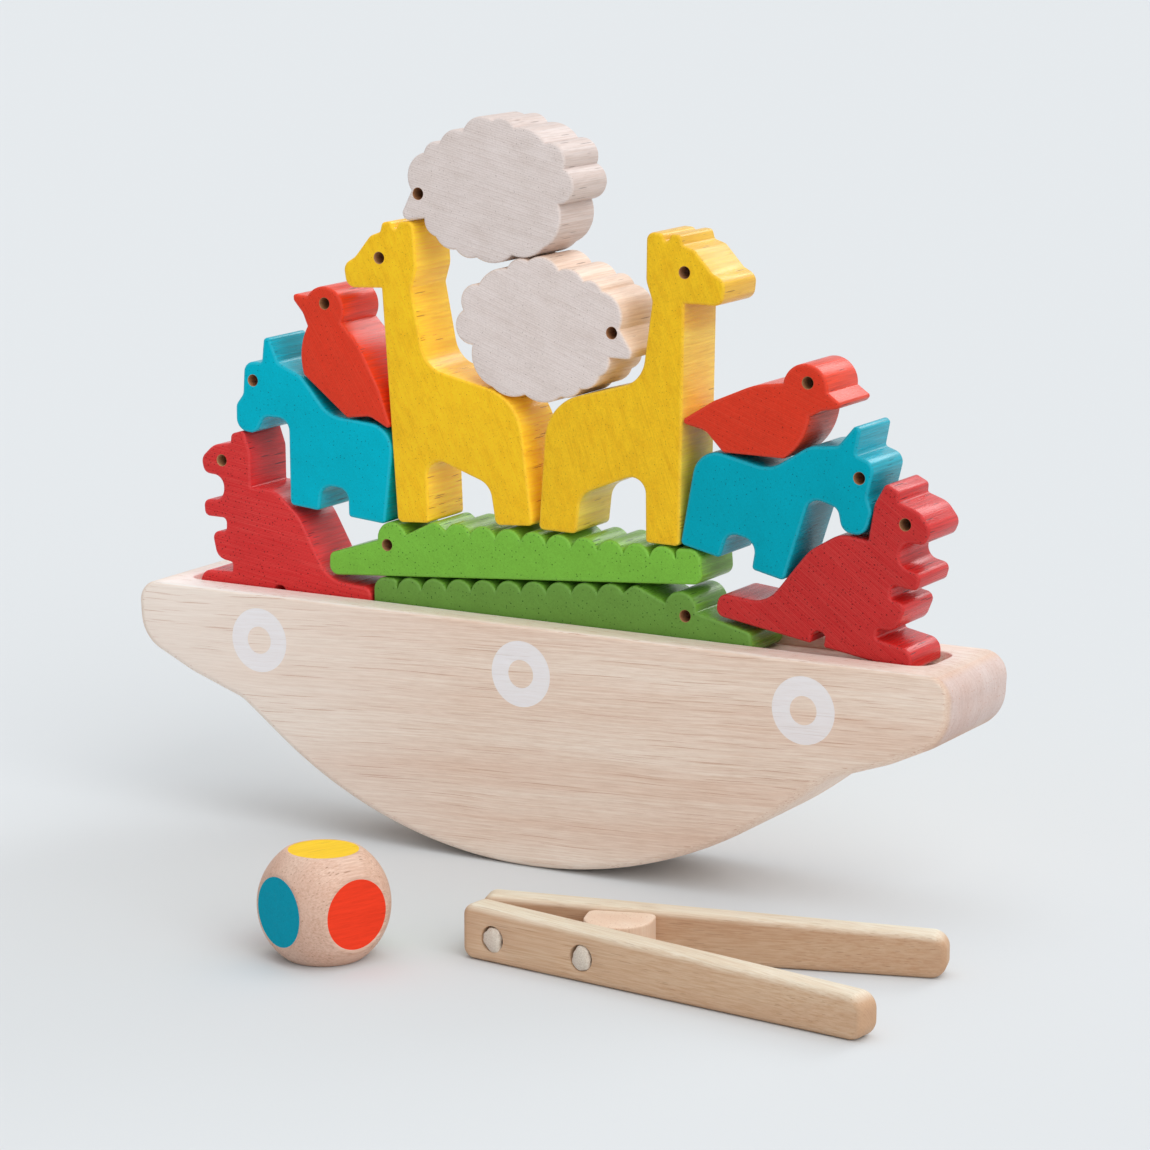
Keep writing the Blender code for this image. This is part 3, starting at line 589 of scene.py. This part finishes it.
# Animals
animalSpec = {"board": 20.0, "rim": 0.85, "eye": 1.72, "eyeLip": 0.12, "chin": 61.0, "chinFade": 3.0,
              "grainStep": (61.0, 23.0, 47.0)}
animalShapes = {
    "giraffe": {"eye": (23.5, 78.6), "corners": [
        (-23.3, 0.0, 1.6), (-21.0, 37.4, 15.0), (10.1, 46.4, 9.0), (13.1, 69.6, 1.2), (11.0, 75.2, 6.0),
        (11.0, 89.3, 2.4), (16.2, 89.1, 1.8), (17.4, 86.0, 1.3), (18.9, 89.2, 1.3), (21.9, 89.0, 1.3),
        (22.8, 86.2, 1.0), (26.4, 85.1, 3.0), (32.2, 78.9, 4.0), (36.4, 76.8, 3.2), (35.7, 69.9, 3.2),
        (23.5, 69.7, 0.4), (23.3, 0.0, 1.8), (12.2, 0.0, 1.2), (11.7, 20.6, 4.5), (-9.4, 11.8, 6.0),
        (-10.6, 0.0, 1.8)]},
    "bird": {"eye": (16.8, 22.1), "corners": [
        (-24.0, 7.5, 1.0), (-13.0, 14.4, 10.0), (0.0, 20.1, 24.0), (8.9, 21.3, 0.0, 6.8), (22.9, 19.7, 0.0),
        (27.0, 16.9, 1.0), (25.8, 15.4, 1.0), (21.0, 14.5, 3.0), (17.4, 12.5, 0.0, 1.6), (9.5, 0.0, 0.0),
        (-9.7, 0.0, 1.6), (-15.4, 5.7, 5.0)]},
    "donkey": {"eye": (32.8, 35.7), "corners": [
        (17.0, 0.0, 1.5), (19.4, 25.9, 3.8), (28.2, 25.3, 3.0), (30.9, 19.4, 3.6), (38.0, 19.9, 5.0),
        (38.6, 27.4, 2.8), (36.3, 31.0, 3.0), (36.5, 40.9, 6.2), (30.2, 41.6, 1.0), (30.0, 49.0, 1.3),
        (28.0, 49.6, 1.2), (24.2, 42.4, 2.0), (15.8, 39.7, 8.0), (5.4, 29.5, 10.0), (-18.0, 29.5, 8.0),
        (-16.9, 0.0, 1.4), (-3.9, 0.0, 1.2), (-3.1, 8.1, 3.6), (6.1, 8.1, 4.0), (6.5, 0.0, 1.2)]},
    "kangaroo": {"eye": (20.5, 40.8), "corners": [
        (-2.0, 0.0, 0.8), (-2.0, 4.0, 1.8), (2.0, 4.0, 1.8), (2.0, 0.0, 0.8), (29.8, 0.0, 1.2),
        (28.6, 6.2, 4.5), (17.4, 6.6, 0.9), (17.4, 9.5, 0.9), (23.0, 10.4, 4.5), (24.8, 18.6, 2.4),
        (19.5, 18.8, 1.5), (19.4, 23.0, 1.5), (27.2, 23.1, 1.8), (27.7, 28.2, 2.0), (20.2, 28.6, 3.6),
        (20.2, 35.8, 3.6), (27.2, 36.4, 2.5), (28.4, 41.0, 3.2), (23.8, 45.3, 6.0), (17.4, 46.4, 0.8),
        (17.2, 49.2, 1.5), (12.6, 50.6, 1.2), (10.2, 44.0, 5.0), (10.1, 33.3, 0.5), (1.6, 33.3, 9.0),
        (-7.2, 25.9, 14.0), (-17.6, 7.6, 10.0), (-32.8, 6.6, 2.9), (-32.8, 0.0, 2.6)]},
    "sheep": {"eye": (23.7, 0.5), "corners": [
        (22.8, -6.8, 0.0), (29.4, -6.9, 1.4), (30.2, -4.6, 1.4), (26.1, 1.6, 0.0, 3.2),
        (20.4, 12.2, 0.0, 1.4), (14.5, 14.8, 0.0, 1.7), (6.3, 17.5, 0.0, 2.4), (-4.0, 19.6, 0.0, 1.6),
        (-11.1, 17.0, 0.0, 1.6), (-20.7, 11.8, 0.0, 3.0), (-26.0, 4.0, 0.0, 4.1), (-23.0, -6.0, 0.0, 2.8),
        (-16.3, -18.0, 0.0, 1.6), (-5.5, -19.4, 0.0, 2.0), (6.6, -19.2, 0.0, 1.2), (13.2, -16.5, 0.0, 1.3),
        (19.5, -12.4, 0.0, 1.2)]},
}
crocSpec = {"length": 127.4, "tail": 10.4, "slope": 4.4, "pitch": 8.55, "scales": 9, "firstValley": 8.2,
            "valley": 7.3, "valleyClimb": 0.088, "tailCorners": (3.2, 4.2), "eye": (42.0, 9.5),
            "head": [(0.0, 0.0, 3.0), (127.4, 0.0, 4.2), (126.6, 6.7, 2.0), (109.4, 10.8, 0.6),
                     (109.2, 11.0, 0.0, 4.5), (99.0, 12.7, 0.0), (88.6, 17.0, 3.0)]}


# Crocodile: head and belly corners, then a row of even bows whose tops climb on one straight slope.
def crocCorners(spec):
    corners = list(spec["head"])
    climb = np.tan(np.radians(spec["slope"]))
    for k in range(spec["scales"], 0, -1):
        d = spec["firstValley"] + spec["pitch"] * k
        valley = spec["valley"] + spec["valleyClimb"] * (d - spec["firstValley"])
        top = spec["tail"] + (d - spec["pitch"] / 2 - spec["firstValley"] / 2) * climb
        corners.append((d, valley, 0.0, top - valley + 0.5 * spec["valleyClimb"] * spec["pitch"]))
    inner, outer = spec["tailCorners"]
    corners += [(spec["firstValley"], spec["valley"], 0.0), (spec["firstValley"], spec["tail"], inner),
                (0.0, spec["tail"], outer)]
    return [(c[0] - spec["length"] / 2, *c[1:]) for c in corners]


animalShapes["crocodile"] = {"eye": crocSpec["eye"], "corners": crocCorners(crocSpec)}
finishOf = {"crocodile": ("green", "crocodile_green"), "kangaroo": ("crimson", "kangaroo_crimson"),
            "giraffe": ("yellow", "giraffe_yellow"), "donkey": ("teal", "donkey_teal"),
            "bird": ("vermilion", "bird_vermilion"), "sheep": ("fleece", "sheep_white")}
seat, deck = 69.05, 98.475  # heights on which the lowest animals and the giraffes stand
# Per piece, a tint over the whole piece: partly its own colour, partly painted light that makes the left
# pieces brighter where more light falls. The side and head entries are painted light on the side faces only:
# painted sheen, glints, warm bounce and shade.
animals = [
    {"node": "lower_crocodile", "toneAndLight": 1.0, "x": 6.7, "z": seat, "lean": 0.0, "stain": "deepGreen"},
    {"node": "upper_crocodile", "toneAndLight": 1.0, "x": -9.4, "z": seat + 14.133, "lean": 4.4},
    {"node": "left_kangaroo", "toneAndLight": 1.2, "x": -90.75, "z": seat, "lean": 0.0,
     "paintedSideLight": (1.15, 1.6, 1.8), "grainTurn": 18.0},
    {"node": "right_kangaroo", "toneAndLight": 0.98, "x": 90.6, "z": seat + 5.55, "lean": -9.2},
    {"node": "right_giraffe", "toneAndLight": 1.05, "x": 23.35, "z": deck + 0.3, "lean": -0.75,
     "paintedSideLight": (1.0, 1.15, 2.0), "paintedHeadSideLight": (0.88, 0.83, 0.9)},
    {"node": "left_giraffe", "toneAndLight": 1.12, "x": -25.1, "z": deck - 0.25, "lean": 3.9,
     "paintedSideLight": (1.21, 1.2, 0.95)},
    {"node": "right_donkey", "toneAndLight": 0.94, "x": 63.35, "z": deck - 2.85, "lean": -12.6},
    {"node": "left_donkey", "toneAndLight": 1.14, "x": -69.6, "z": deck - 1.5, "lean": -4.75},
    {"node": "right_bird", "toneAndLight": 0.98, "x": 69.95, "z": deck + 28.3, "lean": -0.4},
    {"node": "left_bird", "toneAndLight": 1.02, "x": -73.6, "z": deck + 34.05, "lean": -37.9},
    {"node": "lower_sheep", "toneAndLight": 1.0, "x": 0.75, "z": deck + 59.2, "lean": 0.35,
     "paintedSideLight": (1.12, 1.04, 0.95)},
    {"node": "upper_sheep", "toneAndLight": 0.97, "x": -16.65, "z": deck + 98.55, "lean": 7.1,
     "paintedSideLight": (0.88, 0.88, 0.91)},
]


# Animal: its outline, mirrored for one that faces left, cut from the board with the eye drilled through,
# then leaned about its foot and moved to its seat.
def buildAnimal(spec, index):
    side, kind = spec["node"].split("_")
    shape = animalShapes[kind]
    corners, (eyeX, eyeZ) = shape["corners"], shape["eye"]
    if side in ("left", "upper"):
        corners, eyeX = [(-c[0], *c[1:]) for c in corners], -eyeX
        bows = [c[3] if len(c) > 3 else 0.0 for c in corners]
        bows = bows[::-1][1:] + bows[::-1][:1]  # a bow belongs to the edge after its corner
        corners = [(*c[:3], bow) for c, bow in zip(corners[::-1], bows)]
    path, room = cornerPath(corners, spacing=1.2)
    half = animalSpec["board"] / 2
    r, lip = animalSpec["eye"], animalSpec["eyeLip"]
    bore = (eyeX, eyeZ, [(-half, r + lip), (-half + lip, r), (half - lip, r), (half, r + lip)])
    patches = boardPatches(path, room, animalSpec["board"], animalSpec["rim"], [bore])

    def grainOf(spots):
        x, y, z = spots.T
        ends = ramp(np.abs(y), half - animalSpec["rim"], animalSpec["rim"])
        # painted light on the side faces: the side tint, turning into the head tint above the chin, paints
        # sheen, glints, bounce and shade on the sides of the pieces that have them, and the whole-piece tint
        # is partly painted light
        neck = np.array(spec.get("paintedSideLight", (1.0, 1.0, 1.0)))
        head = np.array(spec.get("paintedHeadSideLight", neck))
        sidesLit = neck + ramp(z, animalSpec["chin"], animalSpec["chinFade"])[:, None] * (head - neck)
        toneAndLight = spec["toneAndLight"] * (1 + (1 - ends)[:, None] * (sidesLit - 1))
        x, z = swung(x, z, -np.radians(spec.get("grainTurn", 0.0)))
        return np.stack([x, y, z], 1) + np.array(animalSpec["grainStep"]) * (index + 1), ends, toneAndLight

    def place(spots):
        x, z = swung(spots[:, 0], spots[:, 2], np.radians(spec["lean"]))
        return np.stack([spec["x"] + x, spots[:, 1], spec["z"] + z], 1)

    stain, slot = finishOf[kind]
    stain = spec.get("stain", stain)
    finishes = [mats[stain + "Sides"], mats[stain + "Ends"], mats["drilledEye"]]
    piece = makePiece(side + kind.capitalize(), spec["node"], patches, finishes,
                      [0, 1, 1, 2], [1, 2], grainOf, place)
    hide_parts(spec["node"])
    return piece


for index, spec in enumerate(animals):
    piece = buildAnimal(spec, index)
    low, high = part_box(spec["node"])
    spots = spotsOf(piece.data)
    away = max(np.abs(spots.min(0) - low).max(), np.abs(spots.max(0) - high).max()) / mm
    print(piece.name, "made, box within", round(float(away), 3), "mm of its node")

# Die: six patches, each a polar grid on its face from the middle out to the cube's edges, thrown outwards
# to the nearer of the ball and its own flat, with a soft change from one to the other.
dieSpec = {"place": (-0.8, -123.2, 15.0), "yaw": -21.0, "half": 15.0, "ball": 18.225, "disc": 9.65,
           "soften": 0.25, "spokes": 96, "flatRings": (1e-4, 3.0, 6.0, 8.4), "rimRings": (0.4, 0.15, 0.0),
           "roundRows": 11, "roundCrowd": 1.2, "grainShift": 310.0, "endStart": 0.45, "endFade": 0.4,
           "faces": [("yellow", (0, 0, 1), (1, 0, 0)), ("teal", (0, -1, 0), (1, 0, 0)),
                     ("vermilion", (1, 0, 0), (0, 1, 0)), ("green", (0, 1, 0), (-1, 0, 0)),
                     ("crimson", (-1, 0, 0), (0, -1, 0)), ("fleece", (0, 0, -1), (1, 0, 0))]}


def buildDie(spec):
    patches = Patchwork()
    angle = np.linspace(0, 2 * np.pi, spec["spokes"], endpoint=False)[None, :]
    edge = 1 / np.maximum(np.abs(np.cos(angle)), np.abs(np.sin(angle)))
    rim = np.sqrt(spec["ball"] ** 2 - spec["half"] ** 2)
    flat = np.array([*spec["flatRings"], spec["disc"], *(rim - back for back in spec["rimRings"])])
    flat = flat[:, None] / spec["half"]
    share = np.linspace(0, 1, spec["roundRows"] + 1)[1:, None] ** spec["roundCrowd"]
    reach = np.concatenate([flat + 0 * angle, (1 - share) * flat[-1] + share * edge])
    discRows = len(spec["flatRings"]) + 1
    for index, (_, out, right) in enumerate(spec["faces"]):
        n, u = np.array(out, float), np.array(right, float)
        v = np.cross(n, u)
        ray = n + reach[..., None] * (np.cos(angle)[..., None] * u + np.sin(angle)[..., None] * v)
        far = np.linalg.norm(ray, axis=-1)
        toFlat, toBall = spec["half"] * far, spec["ball"]
        blend = np.clip(0.5 + 0.5 * (toBall - toFlat) / spec["soften"], 0, 1)
        length = toBall * (1 - blend) + toFlat * blend - spec["soften"] * blend * (1 - blend)
        points = ray / far[..., None] * length[..., None]
        patches.grid(points[:discRows], index + 1)
        patches.grid(points[discRows - 1:], 0)

    def grainOf(spots):
        outward = spots / np.linalg.norm(spots, axis=1)[:, None]
        ends = ramp(np.abs(outward[:, 1]), spec["endStart"], spec["endFade"])
        return spots + spec["grainShift"], ends, 1.0

    x, y, z = spec["place"]
    place = setAt((x, y), np.radians(spec["yaw"]), (0.0, 0.0, z))
    piece = makePiece("colourDie", "die", patches,
                      [mats["dieWood"]] + [mats["disc" + f[0].capitalize()] for f in spec["faces"]],
                      list(range(7)), [], grainOf, place, 60.0)
    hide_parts("die")
    return piece


die = buildDie(dieSpec)
print("die made:", len(die.data.polygons), "faces")

# Tongs, planned with u along the back arm from its rear end and v from its inner face to the front arm
tongsSpec = {"rear": (33.0, -97.2), "yaw": 17.0, "spread": 23.2, "gap": 0.35,
             "length": 127.5, "thick": 8.5, "rearHeight": 15.5, "tipHeight": 12.0, "edge": 1.9,
             "rearCorner": 3.4, "tipCorner": 4.6, "endFade": 3.0, "fibreStep": 90.0, "fibreBend": 0.0005,
             # the crest tint is a painted highlight on the top edges, the inner tint painted shade on the
             # inner face between the arms
             "paintedCrestHighlight": np.array((0.15, 0.5, 0.84)), "paintedInnerShade": np.array((-0.14, -0.19, -0.22)),
             "boreHeight": 6.9, "rearCord": 10.3, "middleCord": 39.8,
             "knotBore": 3.6, "knotDepth": 2.6, "cordBore": 2.8, "lip": 0.3, "lipBreak": 0.09,
             "blockStart": 30.4, "blockLength": 18.8, "blockHeight": 12.5, "blockCorner": 2.5,
             "blockEdge": 0.55, "blockLift": 0.4, "blockGrain": 510.0, "blockFade": 0.5,
             "wallLevels": (0.1, 0.9, 11), "mouthShare": 0.99, "mouthClear": 0.3,
             "strand": 0.75, "strandReach": 8.3, "strandShift": -1.3, "middle": 1.2,
             "knotRound": 3.2, "knotTall": 1.6, "knotIn": 0.75, "knotPower": 0.8, "fineLump": 0.035,
             "cordStart": 1.2, "plySwell": 0.07, "plyTurn": 2.2, "pole": 0.001, "capStep": 0.02,
             "yarnStep": 40.0}
blockRound = tongsSpec["blockLength"] / 2
spread = np.radians(tongsSpec["spread"])
pivotU = tongsSpec["middleCord"]
pivotV = tongsSpec["gap"] + pivotU * np.tan(spread) - (blockRound + tongsSpec["gap"]) / np.cos(spread)
pivotAlong = pivotU * np.cos(spread) + (pivotV - tongsSpec["gap"]) * np.sin(spread)
halfThick = tongsSpec["thick"] / 2
backYaw = np.radians(tongsSpec["yaw"])
frontYaw = backYaw - spread


def onPlan(u, v):
    x, y = swung(u, -v, backYaw)
    return (tongsSpec["rear"][0] + x, tongsSpec["rear"][1] + y)


placeBack = setAt(onPlan(0.0, -halfThick), backYaw)
placeFront = setAt(onPlan(pivotU, pivotV), frontYaw,
                   (-pivotAlong, -halfThick - blockRound - tongsSpec["gap"], 0.0))


# Arm: a board with rounded rims and two stepped bores, the wide step on the outer side
def buildArm(name, node, body, outer, place, fibreIndex):
    spec = tongsSpec
    length, rear, tip = spec["length"], spec["rearCorner"], spec["tipCorner"]
    path, room = cornerPath([(0.0, 0.0, rear), (length, 0.0, tip), (length, spec["tipHeight"], tip),
                             (0.0, spec["rearHeight"], rear)], spacing=2.5)
    wide, narrow, lip = spec["knotBore"], spec["cordBore"], spec["lip"]
    step = -halfThick + spec["knotDepth"]
    low = spec["lipBreak"]
    steps = [(-halfThick, wide + lip), (-halfThick + low, wide + low), (-halfThick + lip, wide),
             (step, wide), (step, narrow), (halfThick - lip, narrow), (halfThick, narrow + lip)]
    if outer > 0:
        steps = [(-y, r) for y, r in steps[::-1]]
    bores = [(x, spec["boreHeight"], steps) for x in (spec["rearCord"], spec["middleCord"])]
    patches = boardPatches(path, room, spec["thick"], spec["edge"], bores, rimSteps=6)

    def grainOf(spots):
        x, y, z = spots.T
        ends = ramp(np.abs(x - length / 2), length / 2 - spec["endFade"], spec["endFade"])
        # painted light: the top edges painted paler as a highlight, the inner face darker as shade between
        # the arms
        crest = spec["rearHeight"] + (spec["tipHeight"] - spec["rearHeight"]) * x / length
        onCrest = ramp(z, crest - spec["edge"], spec["edge"])[:, None]
        inside = ramp(-outer * y, halfThick - spec["edge"], spec["edge"])[:, None]
        toneAndLight = 1 + onCrest * spec["paintedCrestHighlight"] + (1 - onCrest) * inside * spec["paintedInnerShade"]
        up = z + spec["fibreStep"] * fibreIndex
        return np.stack([up, x, y + spec["fibreBend"] * x ** 2], 1), ends, toneAndLight

    piece = makePiece(name, body, patches, [mats["tongsWood"]], [0, 0, 0, 0], [1, 2],
                      grainOf, place)
    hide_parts(node)


buildArm("tongsBackArm", "tongs_back_arm", "tongs", 1, placeBack, 5)
buildArm("tongsFrontArm", "tongs_front_arm", "tongs_front", -1, placeFront, 7)


# Block: a D in plan, drawn upwards with a small quarter round at top and bottom. Its wall is unrolled,
# the two mouths of the cord bore are cut there, and it is rolled up again along the D.
def buildBlock(spec):
    start, end = spec["blockStart"], spec["blockStart"] + spec["blockLength"]
    path, room = cornerPath([(start, -spec["gap"], spec["blockCorner"]), (start, -pivotV, 0.0, blockRound),
                             (end, -pivotV, 0.0), (end, -spec["gap"], spec["blockCorner"])],
                            turnStep=4.0, spacing=0.8)
    moved, lift = quarterRound(np.minimum(spec["blockEdge"], room)[None, :], 4)
    flat = path[None] + moved[..., None] * inward(path)[None]
    foot = spec["boreHeight"] - spec["blockHeight"] / 2 + spec["blockLift"]
    patches = Patchwork()
    patches.grid(np.concatenate([flat, (foot + lift)[..., None]], -1), 0)
    patches.grid(np.concatenate([flat, (foot + spec["blockHeight"] - lift)[..., None]], -1), 0)
    for z in (foot, foot + spec["blockHeight"]):
        spots, faces, _ = flatFill([flat[0]])
        patches.add(np.insert(spots, 2, z, 1), faces, 1)
    loop = np.concatenate([path, path[:1]])
    run = np.concatenate([[0.0], np.cumsum(np.hypot(*np.diff(loop, axis=0).T))])
    edgeLift = np.append(lift[-1], lift[-1, 0])
    wall = np.concatenate([np.stack([run, foot + edgeLift], 1),
                           np.stack([run, foot + spec["blockHeight"] - edgeLift], 1)[::-1]])
    boreX, boreZ = circle(spec["middleCord"], spec["boreHeight"], spec["cordBore"]).T

    def rolled(along, z):
        return np.stack([np.interp(along, run, loop[:, 0]), np.interp(along, run, loop[:, 1]), z], 1)

    onFlat = np.abs(loop[:, 1] + spec["gap"]) < tiny
    onRound = loop[:, 1] < -pivotV + tiny
    mouths, loops = [], []
    for where in (onFlat, onRound):
        order = np.argsort(loop[where, 0])
        mouth = np.interp(boreX, loop[where, 0][order], run[where][order])
        loops.append(np.stack([mouth, boreZ], 1))
        mouths.append(rolled(mouth, boreZ))
    hole = spec["cordBore"] * spec["mouthShare"]
    holes = [(ring[:, 0].mean(), spec["boreHeight"], hole) for ring in loops]
    levels = foot + spec["blockHeight"] * np.linspace(*spec["wallLevels"])
    loose = np.stack(np.meshgrid(run[1:-1], levels), -1).reshape(-1, 2)
    for x, z, r in holes:
        loose = loose[np.hypot(loose[:, 0] - x, loose[:, 1] - z) > r + spec["mouthClear"]]
    spots, faces, _ = flatFill([wall] + loops, holes, loose)
    patches.add(rolled(*spots.T), faces, 2)
    patches.grid(np.array(mouths), 2)

    def grainOf(spots):
        half = spec["blockHeight"] / 2
        ends = ramp(np.abs(spots[:, 2] - foot - half), half - spec["blockFade"], spec["blockFade"])
        return spots[:, [0, 2, 1]] + spec["blockGrain"], ends, 1.0

    piece = makePiece("tongsBlock", "tongs", patches, [mats["blockWood"]], [0, 0, 0], [1],
                      grainOf, setAt(onPlan(0.0, 0.0), backYaw), 35.0)
    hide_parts("tongs_block")


buildBlock(tongsSpec)


# Cord half: a knot, which is a flattened ball with slow bulges round it, and a three-ply cord whose round
# section swells three times and turns as it goes. bulge holds the size and turn of the knot's two-sided
# bulge, the same of its three-sided one, and how far the knot sits off the bore along x and z.
def buildCord(name, node, body, outer, place, at, depth, thick, shift, bulge):
    spec = tongsSpec
    patches = Patchwork()
    around = np.linspace(0, 2 * np.pi, 48, endpoint=False)[None, :]
    tall = np.linspace(spec["pole"], np.pi - spec["pole"], 28)[:, None]
    lump = 1 + bulge[0] * np.cos(2 * around + bulge[1]) * np.sin(tall)
    lump += bulge[2] * np.cos(3 * around + bulge[3] + tall)
    lump += spec["fineLump"] * np.cos(7 * around - 5 * tall) * np.sin(tall)
    reach = spec["knotRound"] * np.sin(tall) ** spec["knotPower"] * lump
    squat = np.sign(np.cos(tall)) * np.abs(np.cos(tall)) ** spec["knotPower"]
    y = spec["knotIn"] - spec["knotTall"] * squat + 0 * around
    patches.grid(np.stack([reach * np.cos(around) + bulge[4], y, reach * np.sin(around) + bulge[5]], -1), 0)
    run = np.linspace(0.0, 1.0, 60)[:, None]
    swell = spec["plySwell"]
    ply = thick * (1 - swell + swell * np.cos(3 * around + spec["plyTurn"] * run * depth))
    ply[0], ply[-1] = spec["pole"], spec["pole"]
    gone = spec["cordStart"] + (depth - spec["cordStart"]) * run
    gone[1], gone[-2] = gone[0] + spec["capStep"], gone[-1] - spec["capStep"]
    ease = np.clip(run * 3, 0, 1)
    ease = ease ** 2 * (3 - 2 * ease)
    patches.grid(np.stack([ply * np.cos(around) + shift[0] * ease, gone + 0 * around,
                           ply * np.sin(around) + shift[1] * ease], -1), 0)
    middle = np.array([at, 0.0, spec["boreHeight"]])

    def facing(spots):
        return np.stack([spots[:, 0], outer * (halfThick - spots[:, 1]), spots[:, 2]], 1) + middle

    def grainOf(spots):
        return spots + spec["yarnStep"] * at, np.zeros(len(spots)), 1.0

    piece = makePiece(name, body, patches, [mats["cotton"]], [0], [], grainOf,
                      lambda spots: place(facing(spots)), 80.0)
    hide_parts(node)


aside = tongsSpec["strand"] + tongsSpec["gap"] / 2
halfCord = tongsSpec["thick"] + tongsSpec["strandReach"]
buildCord("rearCordBack", "rear_cord_back", "tongs", 1, placeBack, tongsSpec["rearCord"], halfCord,
          tongsSpec["strand"], (tongsSpec["strandShift"], aside), (0.10, 0.4, 0.06, 1.0, 0.15, -0.1))
buildCord("rearCordFront", "rear_cord_front", "tongs_front", -1, placeFront, tongsSpec["rearCord"], halfCord,
          tongsSpec["strand"], (tongsSpec["strandShift"], -aside), (0.10, 2.9, 0.08, 2.0, 0.1, -0.2))
buildCord("middleCordBack", "middle_cord_back", "tongs", 1, placeBack, tongsSpec["middleCord"],
          tongsSpec["thick"] + pivotV + blockRound - tongsSpec["gap"], tongsSpec["middle"], (0.0, 0.0),
          (0.10, 1.1, 0.06, 2.2, -0.1, -0.1))
buildCord("middleCordFront", "middle_cord_front", "tongs_front", -1, placeFront, tongsSpec["middleCord"],
          tongsSpec["thick"] - tongsSpec["gap"], tongsSpec["middle"], (0.0, 0.0),
          (0.10, 3.4, 0.06, 0.4, 0.15, -0.15))
print("tongs made")

# Stage, light and camera
stageSpec = {"floor": (215, 219, 222), "floorRough": 0.95, "reach": 20.0, "sky": 0.485,
             "seen": (232, 236, 239),
             "lamps": {"overhead": (1.2, 80.0, (0.15, 0.2, 1.0)),
                       "rightKey": (1.2, 50.0, (0.82, -0.5, 0.7)),
                       "backGlint": (0.5, 24.0, (0.1, 0.8, 0.5))}}
floorMesh = bpy.data.meshes.new("studioFloor")
far = stageSpec["reach"]
floorMesh.from_pydata([(-far, -far, 0), (far, -far, 0), (far, far, 0), (-far, far, 0)], [], [(0, 1, 2, 3)])
floor = bpy.data.objects.new("studioFloor", floorMesh)
scene.collection.objects.link(floor)
paper, _, matt = newMaterial("floorPaper")
matt.inputs["Base Color"].default_value = fromScreen(stageSpec["floor"])
matt.inputs["Roughness"].default_value = stageSpec["floorRough"]
matt.inputs["Specular IOR Level"].default_value = 0.0
floorMesh.materials.append(paper)

world = bpy.data.worlds.new("studioSky")
world.use_nodes = True
scene.world = world
skyTree = world.node_tree
sky = skyTree.nodes["Background"]
sky.inputs["Color"].default_value = (1.0, 1.0, 1.0, 1.0)
sky.inputs["Strength"].default_value = stageSpec["sky"]
# straight, mirrored and bent views of the sky show the pale paper instead
backdrop = addNode(skyTree, "ShaderNodeBackground", {"Color": fromScreen(stageSpec["seen"])})
rays = addNode(skyTree, "ShaderNodeLightPath")
direct = calc(skyTree, "MAXIMUM", rays.outputs["Is Camera Ray"], rays.outputs["Is Glossy Ray"])
direct = calc(skyTree, "MAXIMUM", direct, rays.outputs["Is Transmission Ray"])
choice = addNode(skyTree, "ShaderNodeMixShader", {0: direct, 1: sky.outputs[0], 2: backdrop.outputs[0]})
plug(skyTree, skyTree.nodes["World Output"].inputs["Surface"], choice.outputs[0])

for name, (strength, spread, towards) in stageSpec["lamps"].items():
    lamp = bpy.data.lights.new(name, "SUN")
    lamp.energy = strength
    lamp.angle = np.radians(spread)
    lamp = bpy.data.objects.new(name, lamp)
    lamp.rotation_euler = Vector(towards).to_track_quat("Z", "Y").to_euler()
    scene.collection.objects.link(lamp)

cameraSpec = {"place": (0.57707, -0.99215, 0.31708), "aim": (0.0182, -0.020, 0.0892), "lens": 124.98,
              "sensor": 36.0}
camData = bpy.data.cameras.new("photoCamera")
camData.lens = cameraSpec["lens"]
camData.sensor_width = cameraSpec["sensor"]
cam = bpy.data.objects.new("photoCamera", camData)
cam.location = cameraSpec["place"]
cam.rotation_euler = (Vector(cameraSpec["aim"]) - cam.location).to_track_quat("-Z", "Y").to_euler()
scene.collection.objects.link(cam)
scene.camera = cam
print("stage set")
